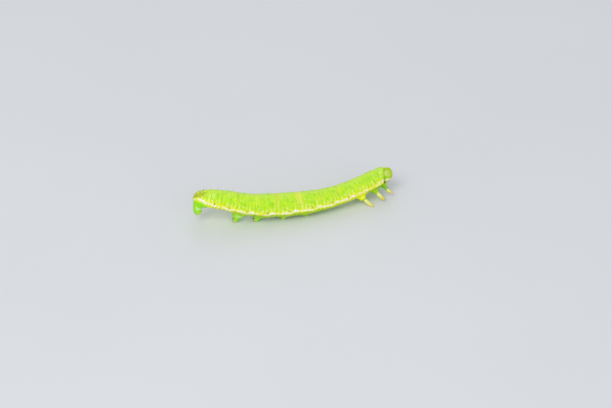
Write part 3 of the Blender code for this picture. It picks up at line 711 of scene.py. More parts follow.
def fold_marks(s, turn, points):
    """The segment of each point, its share along it and the rounded crests between the folds' grooves."""
    place = unslanted(s, turn) + FOLD_WANDER * waver(points, 0.9, SEED)
    i = np.clip(np.searchsorted(BORDERS, place, side="right") - 1, 0, len(SEGMENTS) - 1)
    share = np.clip((place - BORDERS[i]) / LENGTHS[i], 0.0, 1.0)
    crest = np.abs(np.sin(math.pi * FOLDS[i] * share)) ** FOLD_ROUNDNESS
    gap = np.abs(place[:, None] - BORDERS[1:-1]).min(1)
    return i, share, crest, gap


def plate_mark(s, angle):
    """The smooth plate on top of the last segment."""
    return smooth((1.40 - s) / 0.30) * smooth((68.0 - 10.0 * s - angle) / 12.0)


def shield_mark(s, turn):
    """The smooth shield on the back of the first thorax segment."""
    ahead = before_neck(s, turn)
    on_top = smooth((46.0 - np.abs(turn)) / 8.0)
    return smooth((ahead - 0.16) / 0.15) * smooth((1.05 - ahead) / 0.15) * on_top


def skin_relief(s, turn, points, folds):
    """Height of the folds, creases and swellings over the smooth body."""
    i, share, crest, gap = folds
    angle = np.abs(turn)
    upper = smooth((FOLD_END - angle) / FOLD_FADE)
    plates = np.maximum(plate_mark(s, angle), shield_mark(s, turn))
    each = FOLDS[i] * share // 1 + i * 7
    uneven = 0.8 + 0.35 * waver(np.stack([each * 1.7, angle / 38.0, i * 3.1], axis=1), 1.0, SEED + 5)
    height = -FOLD_DEPTH * (1.0 - crest) * (0.25 + 0.75 * upper) * uneven * (1.0 - 0.85 * plates)
    within = np.abs(np.sin(2.0 * math.pi * FOLDS[i] * share)) ** 0.5
    here = smooth(0.5 + 1.2 * waver(points, 0.8, SEED + 7)) * (1.0 - plates)
    height -= 0.014 * (1.0 - within) * crest * upper * here
    height -= CREASE_DEPTH * bell(gap, CREASE_WIDTH) + 0.6 * CREASE_DEPTH * bell(gap, CREASE_CORE)
    depth, over, spread = SIDE_GROOVE
    height -= depth * bell(angle - (stripe_angle(s) - over), spread) * smooth(gap / 0.3)
    share_of_depth, under, low_spread = LOW_GROOVE
    height -= share_of_depth * depth * bell(angle - (stripe_angle(s) + under), low_spread) * smooth(gap / 0.3)
    low = 1.0 - upper
    height += 0.030 * low * waver(points * [1.0, 0.45, 0.45], 2.4, SEED + 9)
    height += 0.010 * waver(points, 3.1, SEED + 2) * (1.0 - 0.7 * plates)
    height += 0.006 * waver(points, 7.3, SEED + 3) * (1.0 - 0.8 * plates)
    height += PLATE_HEIGHT * plates
    height += WART_HEIGHT * spots_mark(s, angle, axis_radius(s), YELLOW_WARTS)
    for place, spiracle_angle in SPIRACLES:
        away = np.hypot(s - place, np.radians(angle - spiracle_angle) * 1.5)
        height += SPIRACLE_SWELLING * bell(away, 0.30) - SPIRACLE_PIT * bell(away, 0.10)
    return height * smooth(s / 0.5)


def proleg_relief(points, along, belongs):
    """Folds round the prolegs, from a quarter of the way down to the foot."""
    wander = 0.03 * waver(points, 1.7, SEED + 21)
    rounds = np.abs(np.sin(math.pi * (along + wander) * PROLEG_FOLDS)) ** 0.6
    folded = smooth((along - 0.25) / 0.15) * smooth((0.93 - along) / 0.06)
    height = -PROLEG_FOLD_DEPTH * (1.0 - rounds) * folded
    height += 0.014 * waver(points, 3.6, SEED + 22)
    return height * belongs


def joined_points(data):
    """The fused skin's points, evened out, and smoothed further where the legs leave the body."""
    points = points_of(data)
    edges = np.empty(len(data.edges) * 2, np.int32)
    data.edges.foreach_get("vertices", edges)
    edges = edges.reshape(-1, 2)
    points = relax(points, edges, np.full(len(points), 0.5), 3)
    s, turn, reach = locate(points)
    height = reach - body_radius(s, turn)
    near_leg = np.zeros(len(points))
    for route in list(PROLEG_ROUTES) + list(LEG_ROUTES.values()):
        apart = np.linalg.norm(points - route.middle(0.25), axis=1)
        near_leg = np.maximum(near_leg, smooth((LEG_JOIN_REACH - apart) / 0.3))
    join = near_leg * bell(height - 0.02, 0.13) * LEG_JOIN_WEIGHT
    return relax(points, edges, join, LEG_JOIN_ROUNDS)


def ring_marks(s, turn):
    """How much each point lies in a ring between segments, and how rosy that ring is."""
    strength, half_width, rosy = np.array(RINGS).T
    level = unslanted(s, turn)
    each = strength * bell(level[:, None] - BORDERS[1:-1], half_width)
    return each.max(1) * smooth((84.0 - np.abs(turn)) / 30.0), rosy[each.argmax(1)]


def skin_marks(points, s, turn, folds):
    """Where the markings lie on the body, for the finish to read."""
    i, share, crest, gap = folds
    angle = np.abs(turn)
    radius = axis_radius(s)
    stripe = np.radians(angle - stripe_angle(s)) * radius
    rings, rosy = ring_marks(s, turn)
    ragged = s + 0.35 * waver(points, 1.3, SEED + 12)
    rusty = smooth((ragged - RUSTY_START) / 0.4) * smooth((RUSTY_END - ragged) / 0.4)
    spiracle = np.zeros(len(points))
    for place, spiracle_angle in SPIRACLES:
        away = np.hypot(s - place, np.radians(angle - spiracle_angle) * radius)
        spiracle = np.maximum(spiracle, bell(away, 0.17))
    return {name: spots_mark(s, angle, radius, rows) for name, rows in SPOTS.items()} | {
        "along": s / BODY_LENGTH,
        "back": angle / 180.0,
        "stripe": stripe,
        "band": stripe / along_table(s, STRIPE_WIDTHS),
        "crest": crest * smooth(gap / 0.25),
        "pale": along_table(s, STRIPE_PALE),
        "spot": bell(share - STRIPE_RISE[0], 0.06) * ((i > 3) & (i < 11)),
        "warm": along_table(s, UNDER_TONES),
        "gold": along_table(s, GOLD),
        "rusty": rusty * smooth((RUSTY_ANGLE - angle) / 16.0),
        "rings": rings,
        "rosy": rosy,
        "spiracle": spiracle,
        "plate": plate_mark(s, angle),
        "shield": shield_mark(s, turn),
        "collar": smooth((0.20 - before_neck(s, turn)) / 0.12),
    }


def make_skin(finish):
    data = fused_skin()
    points = joined_points(data)
    set_points(data, points)
    normals = points_of(data, "normal")
    s, turn, reach = locate(points)
    height = reach - body_radius(s, turn)
    belongs, down = proleg_marks(points, height)
    folds = fold_marks(s, turn, points)
    body_part = 1.0 - smooth(height / 0.2)
    lift = skin_relief(s, turn, points, folds) * body_part + proleg_relief(points, down, belongs)
    points = points + normals * lift[:, None]
    points[:, 2] = np.maximum(points[:, 2], 0.0)
    set_points(data, points * MM)
    beside = np.radians(turn) * axis_radius(s)
    put_mark(data, "place", np.stack([s, beside, height], axis=1))
    put_mark(data, "proleg", belongs)
    put_mark(data, "foot", down * belongs)
    for name, values in skin_marks(points, s, turn, folds).items():
        put_mark(data, name, values)
    data.shade_smooth()
    flesh = [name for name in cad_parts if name.startswith(("abdomen_", "thorax_", "proleg_"))]
    return dress(bpy.data.objects.new("larva_skin", data), finish, "skin", *flesh)


def tree_of(obj):
    graph = bpy.context.evaluated_depsgraph_get()
    return BVHTree.FromObject(obj, graph)


def on_skin(tree, s, turn):
    """The place on the finished skin over the axis at s and turn, and the skin's normal there."""
    _, left, up = directions_at(s)
    a = math.radians(turn)
    way = left * math.sin(a) + up * math.cos(a)
    start = axis_at(s) + way * RAY_START
    place, normal, _, _ = tree.ray_cast(Vector(start * MM), Vector(-way))
    return np.array(place) / MM, np.array(normal)


# The head


class Head:
    """The head's own directions and middle."""

    def __init__(self):
        neck_forward, _, neck_up = directions_at(BODY_LENGTH, -NECK_BOW, -NECK_TURN)
        self.axes = np.stack(directions_at(BODY_LENGTH, HEAD_PITCH, -NECK_TURN))
        self.middle = axis_at(BODY_LENGTH) + neck_forward * HEAD_AHEAD + neck_up * HEAD_RAISE

    def at(self, points):
        """Points given as forward, left and up."""
        return self.middle + np.asarray(points, float) @ self.axes

    def way(self, direction):
        return unit(np.asarray(direction, float) @ self.axes)

    def on_face(self, across, high, outwards=0.0):
        """A place of the finished capsule and its normal, from shares of the half width and height."""
        depth = math.sqrt(max(0.0, 1.0 - across**2 - high**2))
        points, normals, _ = capsule_form(np.array([[depth, across, high]]))
        return self.at(points[0] + normals[0] * outwards), self.way(normals[0])


def beside_line(across, high, start, end):
    """Distance in the plane of the face from the line between two places."""
    start, end = np.array(start), np.array(end)
    way = end - start
    rel = np.stack([across, high], axis=-1) - start
    share = np.clip((rel @ way) / (way @ way), 0.0, 1.0)
    return np.linalg.norm(rel - share[..., None] * way, axis=-1)


def capsule_form(ball):
    """The head capsule in its own directions, its normals and its marks, from points of a unit ball."""
    forward, left, up = ball.T
    side = np.abs(left)
    wide = 1.0 - CHEEK_NARROWING * np.maximum(0.0, -up) ** 1.5
    fade = np.clip((up - SUTURE_END) / SUTURE_FADE, 0.0, 1.0)
    shrink = 1.0 - 0.8 * SUTURE_DEPTH * bell(left, 1.4 * SUTURE_WIDTH) * fade
    half = np.array(HEAD_HALF)
    scale = np.stack([half[0] * shrink, half[1] * wide, half[2] * shrink], axis=1)
    points = ball * scale
    normals = unit(ball / scale)
    facing = smooth((forward + 0.05) / 0.25)
    coronal = beside_line(left, up, FRONS_TOP, (0.0, 1.0))
    coronal = np.where(forward < 0.0, side + np.maximum(0.0, -up), coronal)
    on_face = [
        strength * bell(beside_line(side, up, start, end), width)
        for start, end, width, strength in FACE_LINES
    ]
    lines = np.maximum(bell(coronal, 0.035), np.max(on_face, axis=0) * facing)
    height = -LINE_DEPTH * lines
    height -= FRONS_DENT * facing * smooth((0.30 - np.abs(up + 0.20)) / 0.3) * smooth((0.24 - side) / 0.2)
    centre = np.array(STEMMATA).mean(0)
    ocular = bell(np.hypot(side - centre[0], up - centre[1]), 0.22) * smooth((forward + 0.1) / 0.3)
    height += STEMMATA_BULGE * ocular
    socket = np.hypot(side - ANTENNA_BASE[0], up - ANTENNA_BASE[1])
    height += facing * (SOCKET_RIM * bell(socket - 0.21, 0.05) - SOCKET_PIT * bell(socket, 0.16))
    mouth = smooth((-0.62 - up) / 0.12) * smooth((0.52 - side) / 0.12)
    points[:, 2] += MOUTH_RISE * mouth
    frons = facing * smooth((FRONS_TOP[1] - up - side * 1.9) / 0.08) * smooth((up + 0.50) / 0.06)
    marks = {"lines": lines, "mouth": mouth, "ocular": ocular, "frons": frons}
    marks["socket"] = facing * bell(socket, 0.2)
    return points + normals * height[:, None], normals, marks


def make_head_capsule(head, finish):
    ball, faces = unit_ball(84)
    points, normals, marks = capsule_form(ball)
    points += normals * (0.004 * waver(ball, 6.0, SEED + 31))[:, None]
    shells = Shells()
    shells.add(head.at(points), faces, **marks)
    obj = shells.piece("head_capsule", finish, "head_capsule", "head")
    put_mark(obj.data, "face", ball)


def ball_piece(shells, head, place, half, cuts=10, shape=None, **marks):
    """A rounded form in the head's directions, with shape to bend its points."""
    ball, faces = unit_ball(cuts)
    points = ball * half
    if shape:
        points = shape(points, ball)
    shells.add(head.at(points + place), faces, **marks)


def notched(points, ball):
    """The labrum's curve round the mouth and the notch in its lower edge."""
    points[:, 2] += 0.11 * bell(ball[:, 1], 0.22) * smooth(-ball[:, 2] / 0.5)
    points[:, 0] -= 0.10 * ball[:, 1] ** 2
    return points


def make_mouth(head, finish):
    """Clypeus, labrum, maxillae, labium, palps and spinneret."""
    shells = Shells()
    ball_piece(shells, head, CLYPEUS_PLACE, CLYPEUS_HALF, shade=0.05)
    ball_piece(shells, head, LABRUM_PLACE, LABRUM_HALF, 18, notched, shade=0.35)
    ball_piece(shells, head, LABIUM_PLACE, LABIUM_HALF, shade=0.1)
    down = head.way((SPINNERET_LEAN, 0.0, -1.0))
    shells.turned(head.at(SPINNERET_PLACE), down, SPINNERET_TUBE, 16, shade=0.45)
    for side in SIDES:
        across = np.array([1.0, side, 1.0])
        ball_piece(shells, head, np.array(PALP_PLACE) * across, PALP_HALF, shade=0.12)
        # the three short rings of the maxilla's palp, then the small palp of the labium
        start = head.at((np.array(PALP_PLACE) + [0.05, 0.02, -0.20]) * across)
        way = head.way((0.35, 0.10 * side, -1.0))
        for k, (radius, length) in enumerate(MAXILLA_RINGS):
            ring = [(0.0, radius * 0.8), (0.015, radius), (length * 0.8, radius * 0.95)]
            ring.append((length, radius * 0.7))
            shells.turned(start, way, ring, 14, shade=0.4 + 0.15 * k)
            start = start + way * (length * 0.85)
        start = head.at(np.array(SPINNERET_PLACE) + [0.0, 0.085 * side, 0.02])
        way = head.way((0.25, 0.35 * side, -1.0))
        shells.turned(start, way, LABIAL_PALP, 10, shade=0.5)
    shells.piece("mouthparts", finish, "head_capsule")


def toothed(points, ball):
    """A mandible: a scoop that narrows downwards to a row of teeth."""
    low = smooth((-ball[:, 2] - 0.1) / 0.8)
    points[:, 0] *= 1.0 - 0.45 * low
    teeth = np.abs(np.cos(ball[:, 1] * math.pi * 2.4)) ** 0.7
    points[:, 2] -= 0.055 * teeth * smooth((-ball[:, 2] - 0.62) / 0.25) - 0.03 * low
    points[:, 0] -= 0.06 * smooth((-ball[:, 2] - 0.2) / 0.6) * (ball[:, 0] < 0)
    return points


def make_mandibles(head, finish):
    for side, word in SIDES.items():
        shells = Shells()
        ball, faces = unit_ball(26)
        points = toothed(ball * MANDIBLE_HALF, ball)
        place = np.array(MANDIBLE_PLACE) * [1.0, side, 1.0]
        shells.add(head.at(points + place), faces, edge=smooth((-ball[:, 2] - 0.2) / 0.7))
        shells.piece(f"jaw_{word}", finish, "jaw", f"mandible_{word}")


def make_antennae(head, finish):
    """Three short rings on a soft base, with a bristle."""
    for side, word in SIDES.items():
        start, normal = head.on_face(side * ANTENNA_BASE[0], ANTENNA_BASE[1], -0.06)
        way = unit(normal + head.axes[0] * ANTENNA_LEAN)
        shells = Shells()
        for low, high, length, shade in ANTENNA_RINGS:
            profile = [(0.0, low * 0.85), (0.02, low), (length * 0.82, high)]
            profile += [(length * 0.94, high * 0.94), (length, high * 0.7)]
            shells.turned(start, way, profile, 20, shade=shade)
            start = start + way * (length * 0.88)
        reach = np.linspace(0.0, 1.0, 7)[:, None]
        bristle = start + way * (BRISTLE_LENGTH * reach) + head.axes[2] * (BRISTLE_RISE * reach**2)
        shells.sweep(bristle, BRISTLE_RADIUS * (1.0 - 0.7 * reach[:, 0]), 6, shade=0.9)
        shells.piece(f"feeler_{word}", finish, "leg_cuticle", f"antenna_{word}")


def make_stemmata(head, finish):
    shells = Shells()
    for side in SIDES:
        for across, high in STEMMATA:
            place, normal = head.on_face(side * across, high, -0.018)
            bends = np.linspace(-0.5, 1.5, 9)
            dome = [(STEMMA_RADIUS * math.sin(a), STEMMA_RADIUS * math.cos(a)) for a in bends]
            shells.turned(place, normal, dome, 20)
    shells.piece("stemmata", finish, "head_capsule")


# The thoracic legs


def leg_piece(shells, leg, start, end, swell):
    """One ring of a leg, narrower where it leaves the ring before and with a rim at its end."""
    u = np.linspace(0.0, 1.0, 15)
    shares = start + (end - start) * u
    widths = leg.width(shares) * along_table(u, LEG_RING) * swell
    shells.sweep(leg.middle(shares), widths, 26, leg=shares)


def make_legs(finish):
    rng = np.random.default_rng(SEED)
    for (number, side), leg in LEG_ROUTES.items():
        shells = Shells()
        soft = np.linspace(0.0, 0.90, 24)
        shells.sweep(leg.middle(soft), leg.width(soft) * 0.86, 22, leg=soft * 0.5)
        for start, end, swell in LEG_PIECES:
            leg_piece(shells, leg, start, end, swell)
        # the claw, hooked inwards
        u = np.linspace(0.0, 1.0, 12)
        along = CLAW_ROOT + (1.0 - CLAW_ROOT) * u
        path = leg.middle(along) - leg.left * (side * CLAW_HOOK * u**2)[:, None]
        path[:, 2] = np.maximum(path[:, 2], 0.012 + 0.06 * (1 - u) ** 0.5 * (leg.tip[2] < 0.1))
        shells.sweep(path, CLAW_RADIUS * (1.0 - u) ** 0.7 + 0.006, 12, leg=0.9 + 0.2 * u)
        for share in LEG_HAIRS:
            turn = rng.uniform(0.0, 2 * math.pi)
            ahead = unit(leg.middle(share + 0.02) - leg.middle(share - 0.02))
            across = unit(np.cross(ahead, leg.up))
            out = across * math.cos(turn) + np.cross(ahead, across) * math.sin(turn)
            base = leg.middle(share) + out * (leg.width(share) * 0.95)
            if base[2] > 0.12:
                way = unit(out + ahead * 0.8)
                add_hair(shells, base, way, ahead, rng.uniform(0.14, 0.24), FINE_HAIR_RADIUS, leg=0.95)
        word = SIDES[side]
        for name, tone in zip(("green_end", "golden"), LEG_TONES[number]):
            shells.marks[name] = [np.full(shells.count, tone)]
        shells.piece(f"walking_leg_{number}_{word}", finish, "leg_cuticle", f"leg_{number}_{word}")


# Hairs, spiracles and the hooks of the feet


def add_hair(shells, base, way, lean, length, radius, **marks):
    """A tapered hair with its root sunk in, which bends towards lean."""
    u = np.linspace(0.0, 1.0, 7)[:, None]
    path = base + way * (length * u - 0.02) + lean * (0.30 * length * u**2)
    path[:, 2] = np.maximum(path[:, 2], 0.02)
    shells.sweep(path, radius * (1.0 - 0.8 * u[:, 0]), 5, **marks)


def make_hairs(tree, head, finish):
    rng = np.random.default_rng(SEED + 1)
    shells = Shells()
    for i, name in enumerate(NAMES):
        for share, angle, length in HAIRS:
            if (name == "abdomen_10" and angle > 100) or (i < 2 and angle > 150):
                continue
            for side in SIDES:
                s = BORDERS[i] + LENGTHS[i] * (share + rng.uniform(-0.03, 0.03))
                turn = side * (angle + rng.uniform(-2.0, 2.0))
                base, normal = on_skin(tree, s, turn)
                forward = directions_at(s)[0]
                way = unit(normal + forward * rng.uniform(-0.35, -0.05))
                lean = -forward if i < 8 else forward
                shells.turned(base, normal, KNOB, 12, hair=0.0)
                add_hair(shells, base, way, lean, length * rng.uniform(0.9, 1.1), HAIR_RADIUS, hair=1.0)
    for across, high, length in HEAD_HAIRS:
        for side in SIDES:
            base, normal = head.on_face(side * across, high)
            way = unit(normal + head.axes[2] * rng.uniform(0.0, 0.3))
            add_hair(shells, base, way, head.axes[0], length, FINE_HAIR_RADIUS, hair=1.0)
    shells.piece("hairs", finish, "leg_cuticle")


def make_spiracles(tree, finish):
    """An oval rim and two lips that meet in a slit, on each side of nine segments."""
    shells = Shells()
    around = np.arange(0.0, 2 * math.pi, math.pi / 12)
    long, high = SPIRACLE_HALF
    for name, (s, angle) in zip(SPIRACLE_SEGMENTS, SPIRACLES):
        radius = float(body_radius(s, angle))
        tone = SPIRACLE_TONES.get(name, 1.0)
        for side in SIDES:
            _, normal = on_skin(tree, s, side * angle)

            def spot(ahead, down, rise):
                turn = side * (angle + math.degrees(down / radius))
                return on_skin(tree, s + ahead, turn)[0] + normal * rise

            rim = [spot(long * math.cos(a), high * math.sin(a), RIM_RISE) for a in around]
            shells.sweep(np.array(rim), RIM_RADIUS, 8, closed=True, rim=tone)
            for flap in (1, -1):
                half = np.linspace(-math.pi / 2, math.pi / 2, 11)
                wide, tall = LIP_SHARE * long, LIP_SHARE * high
                edge = [(flap * (SLIT + wide * math.cos(a)), tall * math.sin(a)) for a in half]
                edge += [(flap * SLIT, tall * share) for share in (0.6, 0.2, -0.2, -0.6)]
                middle = np.mean(edge, axis=0)
                lid = []
                for scale, rise in LIP_STEPS:
                    places = [middle + (np.array(point) - middle) * scale for point in edge]
                    lid.append(np.array([spot(*place, rise) for place in places]))
                shells.loft(lid, rim=0.5 * tone)
    shells.piece("spiracles", finish, "jaw")


def make_crochets(finish):
    """A row of hooks along the inner rim of each proleg's foot."""
    shells = Shells()
    for proleg in PROLEG_ROUTES:
        inward = -90.0 * proleg.side
        turns = inward + np.linspace(-HOOKS_TURN, HOOKS_TURN, 17)
        for k, base in enumerate(proleg.ring(HOOKS_AT, turns, 0.97)):
            out = unit(base - proleg.middle(HOOKS_AT))
            reach, rise = np.array(HOOK_PATH).T[:, :, None]
            path = base + (out * reach + np.array([0.0, 0.0, 1.0]) * rise) * HOOK_SIZES[k % 2]
            path[:, 2] = np.maximum(path[:, 2], 0.012)
            shells.sweep(path, HOOK_RADII, 6)
    shells.piece("crochets", finish, "jaw")


# Finishes


def paint(red, green, blue):
    """A linear colour from sRGB levels of 0 to 255."""
    levels = np.array([red, green, blue]) / 255.0
    linear = np.where(levels <= 0.04045, levels / 12.92, ((levels + 0.055) / 1.055) ** 2.4)
    return (*linear.tolist(), 1.0)


class Finish:
    """A procedural material round one shader."""

    def __init__(self, name, **fixed):
        self.material = bpy.data.materials.new(name)
        self.material.use_nodes = True
        self.tree = self.material.node_tree
        self.shader = self.tree.nodes["Principled BSDF"]
        for socket, value in fixed.items():
            self.shader.inputs[socket.replace("_", " ")].default_value = value

    def node(self, kind, inputs, **settings):
        made = self.tree.nodes.new("ShaderNode" + kind)
        for name, value in settings.items():
            setattr(made, name, value)
        for key, value in inputs.items():
            self.put(made.inputs[key], value)
        return made

    def put(self, socket, value):
        if isinstance(value, bpy.types.NodeSocket):
            self.tree.links.new(value, socket)
        else:
            socket.default_value = value

    def mark(self, name):
        return self.node("Attribute", {}, attribute_name=name).outputs["Fac"]

    def places(self, name="place", scale=(1.0, 1.0, 1.0)):
        """A vector mark, stretched by scale."""
        vector = self.node("Attribute", {}, attribute_name=name).outputs["Vector"]
        return self.node("VectorMath", {0: vector, 1: scale}, operation="MULTIPLY").outputs[0]

    def solid(self):
        """Places in the object's own space, in mm."""
        vector = self.node("TexCoord", {}).outputs["Object"]
        return self.node("VectorMath", {0: vector, 1: (1 / MM,) * 3}, operation="MULTIPLY").outputs[0]

    def maths(self, kind, one, two=0.0):
        return self.node("Math", {0: one, 1: two}, operation=kind, use_clamp=kind == "ADD").outputs[0]

    def times(self, *values):
        total = values[0]
        for value in values[1:]:
            total = self.maths("MULTIPLY", total, value)
        return total

    def step(self, value, low, high):
        """0 at low, 1 at high and a smooth step between; low may be the larger."""
        sockets = {"Value": value, "From Min": low, "From Max": high}
        return self.node("MapRange", sockets, interpolation_type="SMOOTHSTEP").outputs[0]

    def plus(self, one, two):
        """The plain sum, where maths stops at 1."""
        return self.node("Math", {0: one, 1: two}, operation="ADD").outputs[0]

    def noise(self, vector, scale, detail=2.0, rough=0.5):
        sockets = {"Vector": vector, "Scale": scale, "Detail": detail, "Roughness": rough}
        return self.node("TexNoise", sockets).outputs["Fac"]

    def swing(self, vector, scale, reach, detail=2.0):
        """Noise from about -reach / 2 to reach / 2."""
        return self.times(self.maths("SUBTRACT", self.noise(vector, scale, detail), 0.5), reach)

    def patches(self, scale, low, high, detail=2.0, stretch=(1.0, 1.0, 1.0)):
        """Patches of the skin, from 0 where the noise is low to 1 where it is high."""
        return self.step(self.noise(self.places(scale=stretch), scale, detail), low, high)

    def uneven_gloss(self, scale, highest):
        return self.step(self.noise(self.solid(), scale), -1.0, highest)

    def cells(self, vector, scale, feature="F1"):
        sockets = {"Vector": vector, "Scale": scale}
        return self.node("TexVoronoi", sockets, feature=feature).outputs["Distance"]

    def mix(self, amount, base, over):
        """base with over laid on it by an amount."""
        return self.node("Mix", {0: amount, 6: base, 7: over}, data_type="RGBA").outputs[2]

    def over(self, base, tone, *amounts):
        """base with tone laid on it by the product of the amounts."""
        return self.mix(self.times(*amounts), base, tone)

    def bump(self, height, strength, distance):
        sockets = {"Height": height, "Strength": strength, "Distance": distance * MM}
        self.put(self.shader.inputs["Normal"], self.node("Bump", sockets).outputs[0])

    def done(self, colour, roughness=None):
        self.put(self.shader.inputs["Base Color"], colour)
        if roughness is not None:
            self.put(self.shader.inputs["Roughness"], roughness)
        return self.material


# Colours of the skin
GREEN_DEEP, GREEN, GREEN_PALE = paint(156, 226, 0), paint(188, 240, 0), paint(218, 250, 100)
LIME, WARM_LIME, GREEN_BELLY = paint(210, 244, 0), paint(232, 250, 0), paint(160, 214, 60)
GREEN_UNDER, YELLOW_UNDER, TAIL_GREEN = paint(98, 186, 6), paint(240, 254, 20), paint(158, 242, 10)
PROLEG_GREEN, PROLEG_LIGHT = paint(140, 226, 0), paint(176, 240, 16)
# the prolegs' pale mottle, also laid on stronger as a painted highlight on the sixth segment's
PROLEG_MOTTLE_AND_HIGHLIGHT, PROLEG_FOOT = paint(214, 250, 160), paint(190, 222, 120)
LEMON, GOLDEN, CREAM = paint(238, 252, 64), paint(250, 248, 0), paint(255, 253, 170)
DASH, PALE_SPOT, WHITE = paint(255, 255, 140), paint(228, 255, 150), paint(255, 255, 246)
RING_YELLOW, RING_ROSE, PORE_YELLOW = paint(244, 250, 96), paint(232, 206, 96), paint(206, 206, 30)
OLIVE, RUST, ROSE = paint(178, 188, 0), paint(150, 112, 10), paint(214, 166, 122)
# Colours of the head and the small parts
HEAD_GREEN, HEAD_LIME, HEAD_LOBE = paint(180, 218, 0), paint(206, 240, 10), paint(224, 214, 150)
HEAD_LOW, HEAD_BEHIND, HEAD_FRONT = paint(214, 230, 96), paint(136, 206, 10), paint(214, 156, 20)
FRONS, CHEEK, SUTURE = paint(222, 192, 60), paint(255, 255, 190), paint(132, 92, 14)
OCULAR, SOCKET, MOUTH = paint(160, 160, 20), paint(230, 226, 140), paint(120, 150, 30)
PALP_GREEN, PALP_AMBER, JAW_YELLOW = paint(176, 216, 70), paint(206, 150, 50), paint(186, 186, 50)
FEELER_GREEN, FEELER_YELLOW, FEELER_TIP = paint(196, 228, 90), paint(224, 216, 100), paint(150, 96, 40)
LEG_GREEN, LEG_PALE = paint(126, 196, 20), paint(240, 244, 140)
LEG_GOLD, LEG_AMBER = paint(244, 224, 40), paint(206, 140, 60)
WART_PALE, WART_GREEN = paint(240, 246, 190), paint(206, 232, 120)
HAIR_LIGHT, HAIR_DARK = paint(196, 180, 110), paint(136, 108, 62)
PORE_PALE, PORE_TAN, PORE_BROWN = paint(238, 228, 150), paint(206, 150, 84), paint(156, 96, 54)
HOOK_LIGHT, HOOK_DARK = paint(128, 70, 26), paint(80, 38, 16)
BROWN, DARK, EYE_BROWN = paint(92, 44, 16), paint(34, 16, 12), paint(70, 34, 16)
FLOOR_LIGHT, FLOOR_DARK = paint(230, 231, 233), paint(222, 224, 228)
# the sixth segment's span along the body, where the prolegs get a painted highlight
A6_HIGHLIGHT_SHARE = (BORDERS[4] + 0.5) / BODY_LENGTH, (BORDERS[5] - 0.3) / BODY_LENGTH


def skin_finish():
    f = Finish(
        "larva_skin",
        Subsurface_Weight=0.16,
        Subsurface_Radius=(1.0, 1.0, 0.35),
        Subsurface_Scale=0.35 * MM,
        Coat_Weight=0.06,
        Coat_Roughness=0.35,
        Specular_IOR_Level=0.24,
    )
    colour = back_colours(f)
    colour = side_colours(f, colour)
    colour = ring_and_plate_colours(f, colour)
    colour = stripe_colours(f, colour)
    colour = proleg_colours(f, colour)
    # pebbled skin between the folds
    pebbles = f.cells(f.solid(), 10.0, "SMOOTH_F1")
    fine = f.noise(f.solid(), 16.0, 2.0)
    wrinkles = f.noise(f.places(scale=(7.0, 1.6, 1.0)), 1.0, 2.0)
    grain = f.maths("ADD", f.times(wrinkles, 0.45), f.times(fine, 0.25))
    height = f.maths("ADD", f.times(pebbles, -0.6), grain)
    f.bump(height, 0.55, 0.045)
    return f.done(colour, f.step(fine, -0.9, 2.2))


def back_colours(f):
    """Green in streaks and mottles that run down the sides, with pale specks, and painted highlights: paler
    fold crests and a lighter back.
    """
    crest, back = f.mark("crest"), f.mark("back")
    streaks = f.patches(1.0, 0.34, 0.54, 3.0, (2.8, 1.0, 1.0))
    colour = f.mix(streaks, GREEN_DEEP, GREEN)
    # pale patches on the fold crests: a painted highlight where the folds catch the light
    pale = f.noise(f.places(scale=(4.2, 1.2, 1.0)), 1.0, 2.0, 0.6)
    colour = f.over(colour, GREEN_PALE, f.step(pale, 0.48, 0.62), f.step(crest, 0.30, 0.95), 0.62)
    blotches = f.patches(1.0, 0.50, 0.63, 2.0, (1.5, 1.1, 1.0))
    colour = f.over(colour, LIME, blotches, 0.80)
    colour = f.over(colour, GREEN_DEEP, f.patches(0.8, 0.54, 0.68, 3.0), 0.65)
    dashes = f.patches(1.0, 0.58, 0.70, 3.0, (1.3, 3.4, 1.0))
    colour = f.over(colour, GREEN_PALE, dashes, 0.55)
    # the back made lighter: a painted highlight of the light from above
    colour = f.over(colour, GREEN_PALE, f.step(back, 0.34, 0.0), 0.32)
    specks = f.cells(f.places(scale=(1.0, 1.0, 0.0)), 6.5)
    choice = f.patches(2.3, 0.46, 0.60)
    colour = f.over(colour, GREEN_PALE, f.step(specks, 0.34, 0.14), choice, 0.75)
    for middle, width, strength in ((0.0, 0.022, 0.30), (0.215, 0.018, 0.16)):
        off = f.maths("ABSOLUTE", f.maths("SUBTRACT", back, middle))
        broken = f.patches(3.1, 0.42, 0.62)
        line = f.times(f.step(off, width, width * 0.3), broken, strength)
        colour = f.mix(line, colour, CREAM)
    return colour


def side_colours(f, colour):
    """Yellower above the stripe, with a pale dash on each fold's crest as a painted highlight, and yellow to
    green under it.
    """
    stripe, crest = f.mark("stripe"), f.mark("crest")
    warm = f.mark("warm")
    low = f.times(f.step(stripe, -1.00, -0.30), f.maths("ADD", f.times(warm, 0.45), 0.35))
    colour = f.mix(low, colour, f.mix(warm, LIME, WARM_LIME))
    low_side = f.times(f.step(stripe, -1.35, -0.60), f.step(stripe, -0.12, -0.30))
    # pale dashes on the fold crests above the stripe: painted highlights
    chosen = f.patches(2.4, 0.44, 0.56)
    colour = f.over(colour, DASH, low_side, f.step(crest, 0.60, 0.95), chosen, 0.80)
    dots = f.step(f.cells(f.places(scale=(1.0, 1.0, 0.0)), 4.4), 0.30, 0.16)
    here = f.patches(1.6, 0.42, 0.56)
    colour = f.over(colour, DASH, low_side, dots, here, 0.85)
    under = f.mix(warm, GREEN_UNDER, YELLOW_UNDER)
    under = f.mix(f.step(f.mark("along"), 0.085, 0.060), under, TAIL_GREEN)
    mottle = f.patches(2.1, 0.46, 0.62, 3.0)
    under = f.over(under, LIME, mottle, 0.35)
    colour = f.mix(f.step(stripe, 0.20, 0.44), colour, under)
    return f.over(colour, GREEN_BELLY, f.step(f.mark("back"), 0.70, 0.92), 0.85)


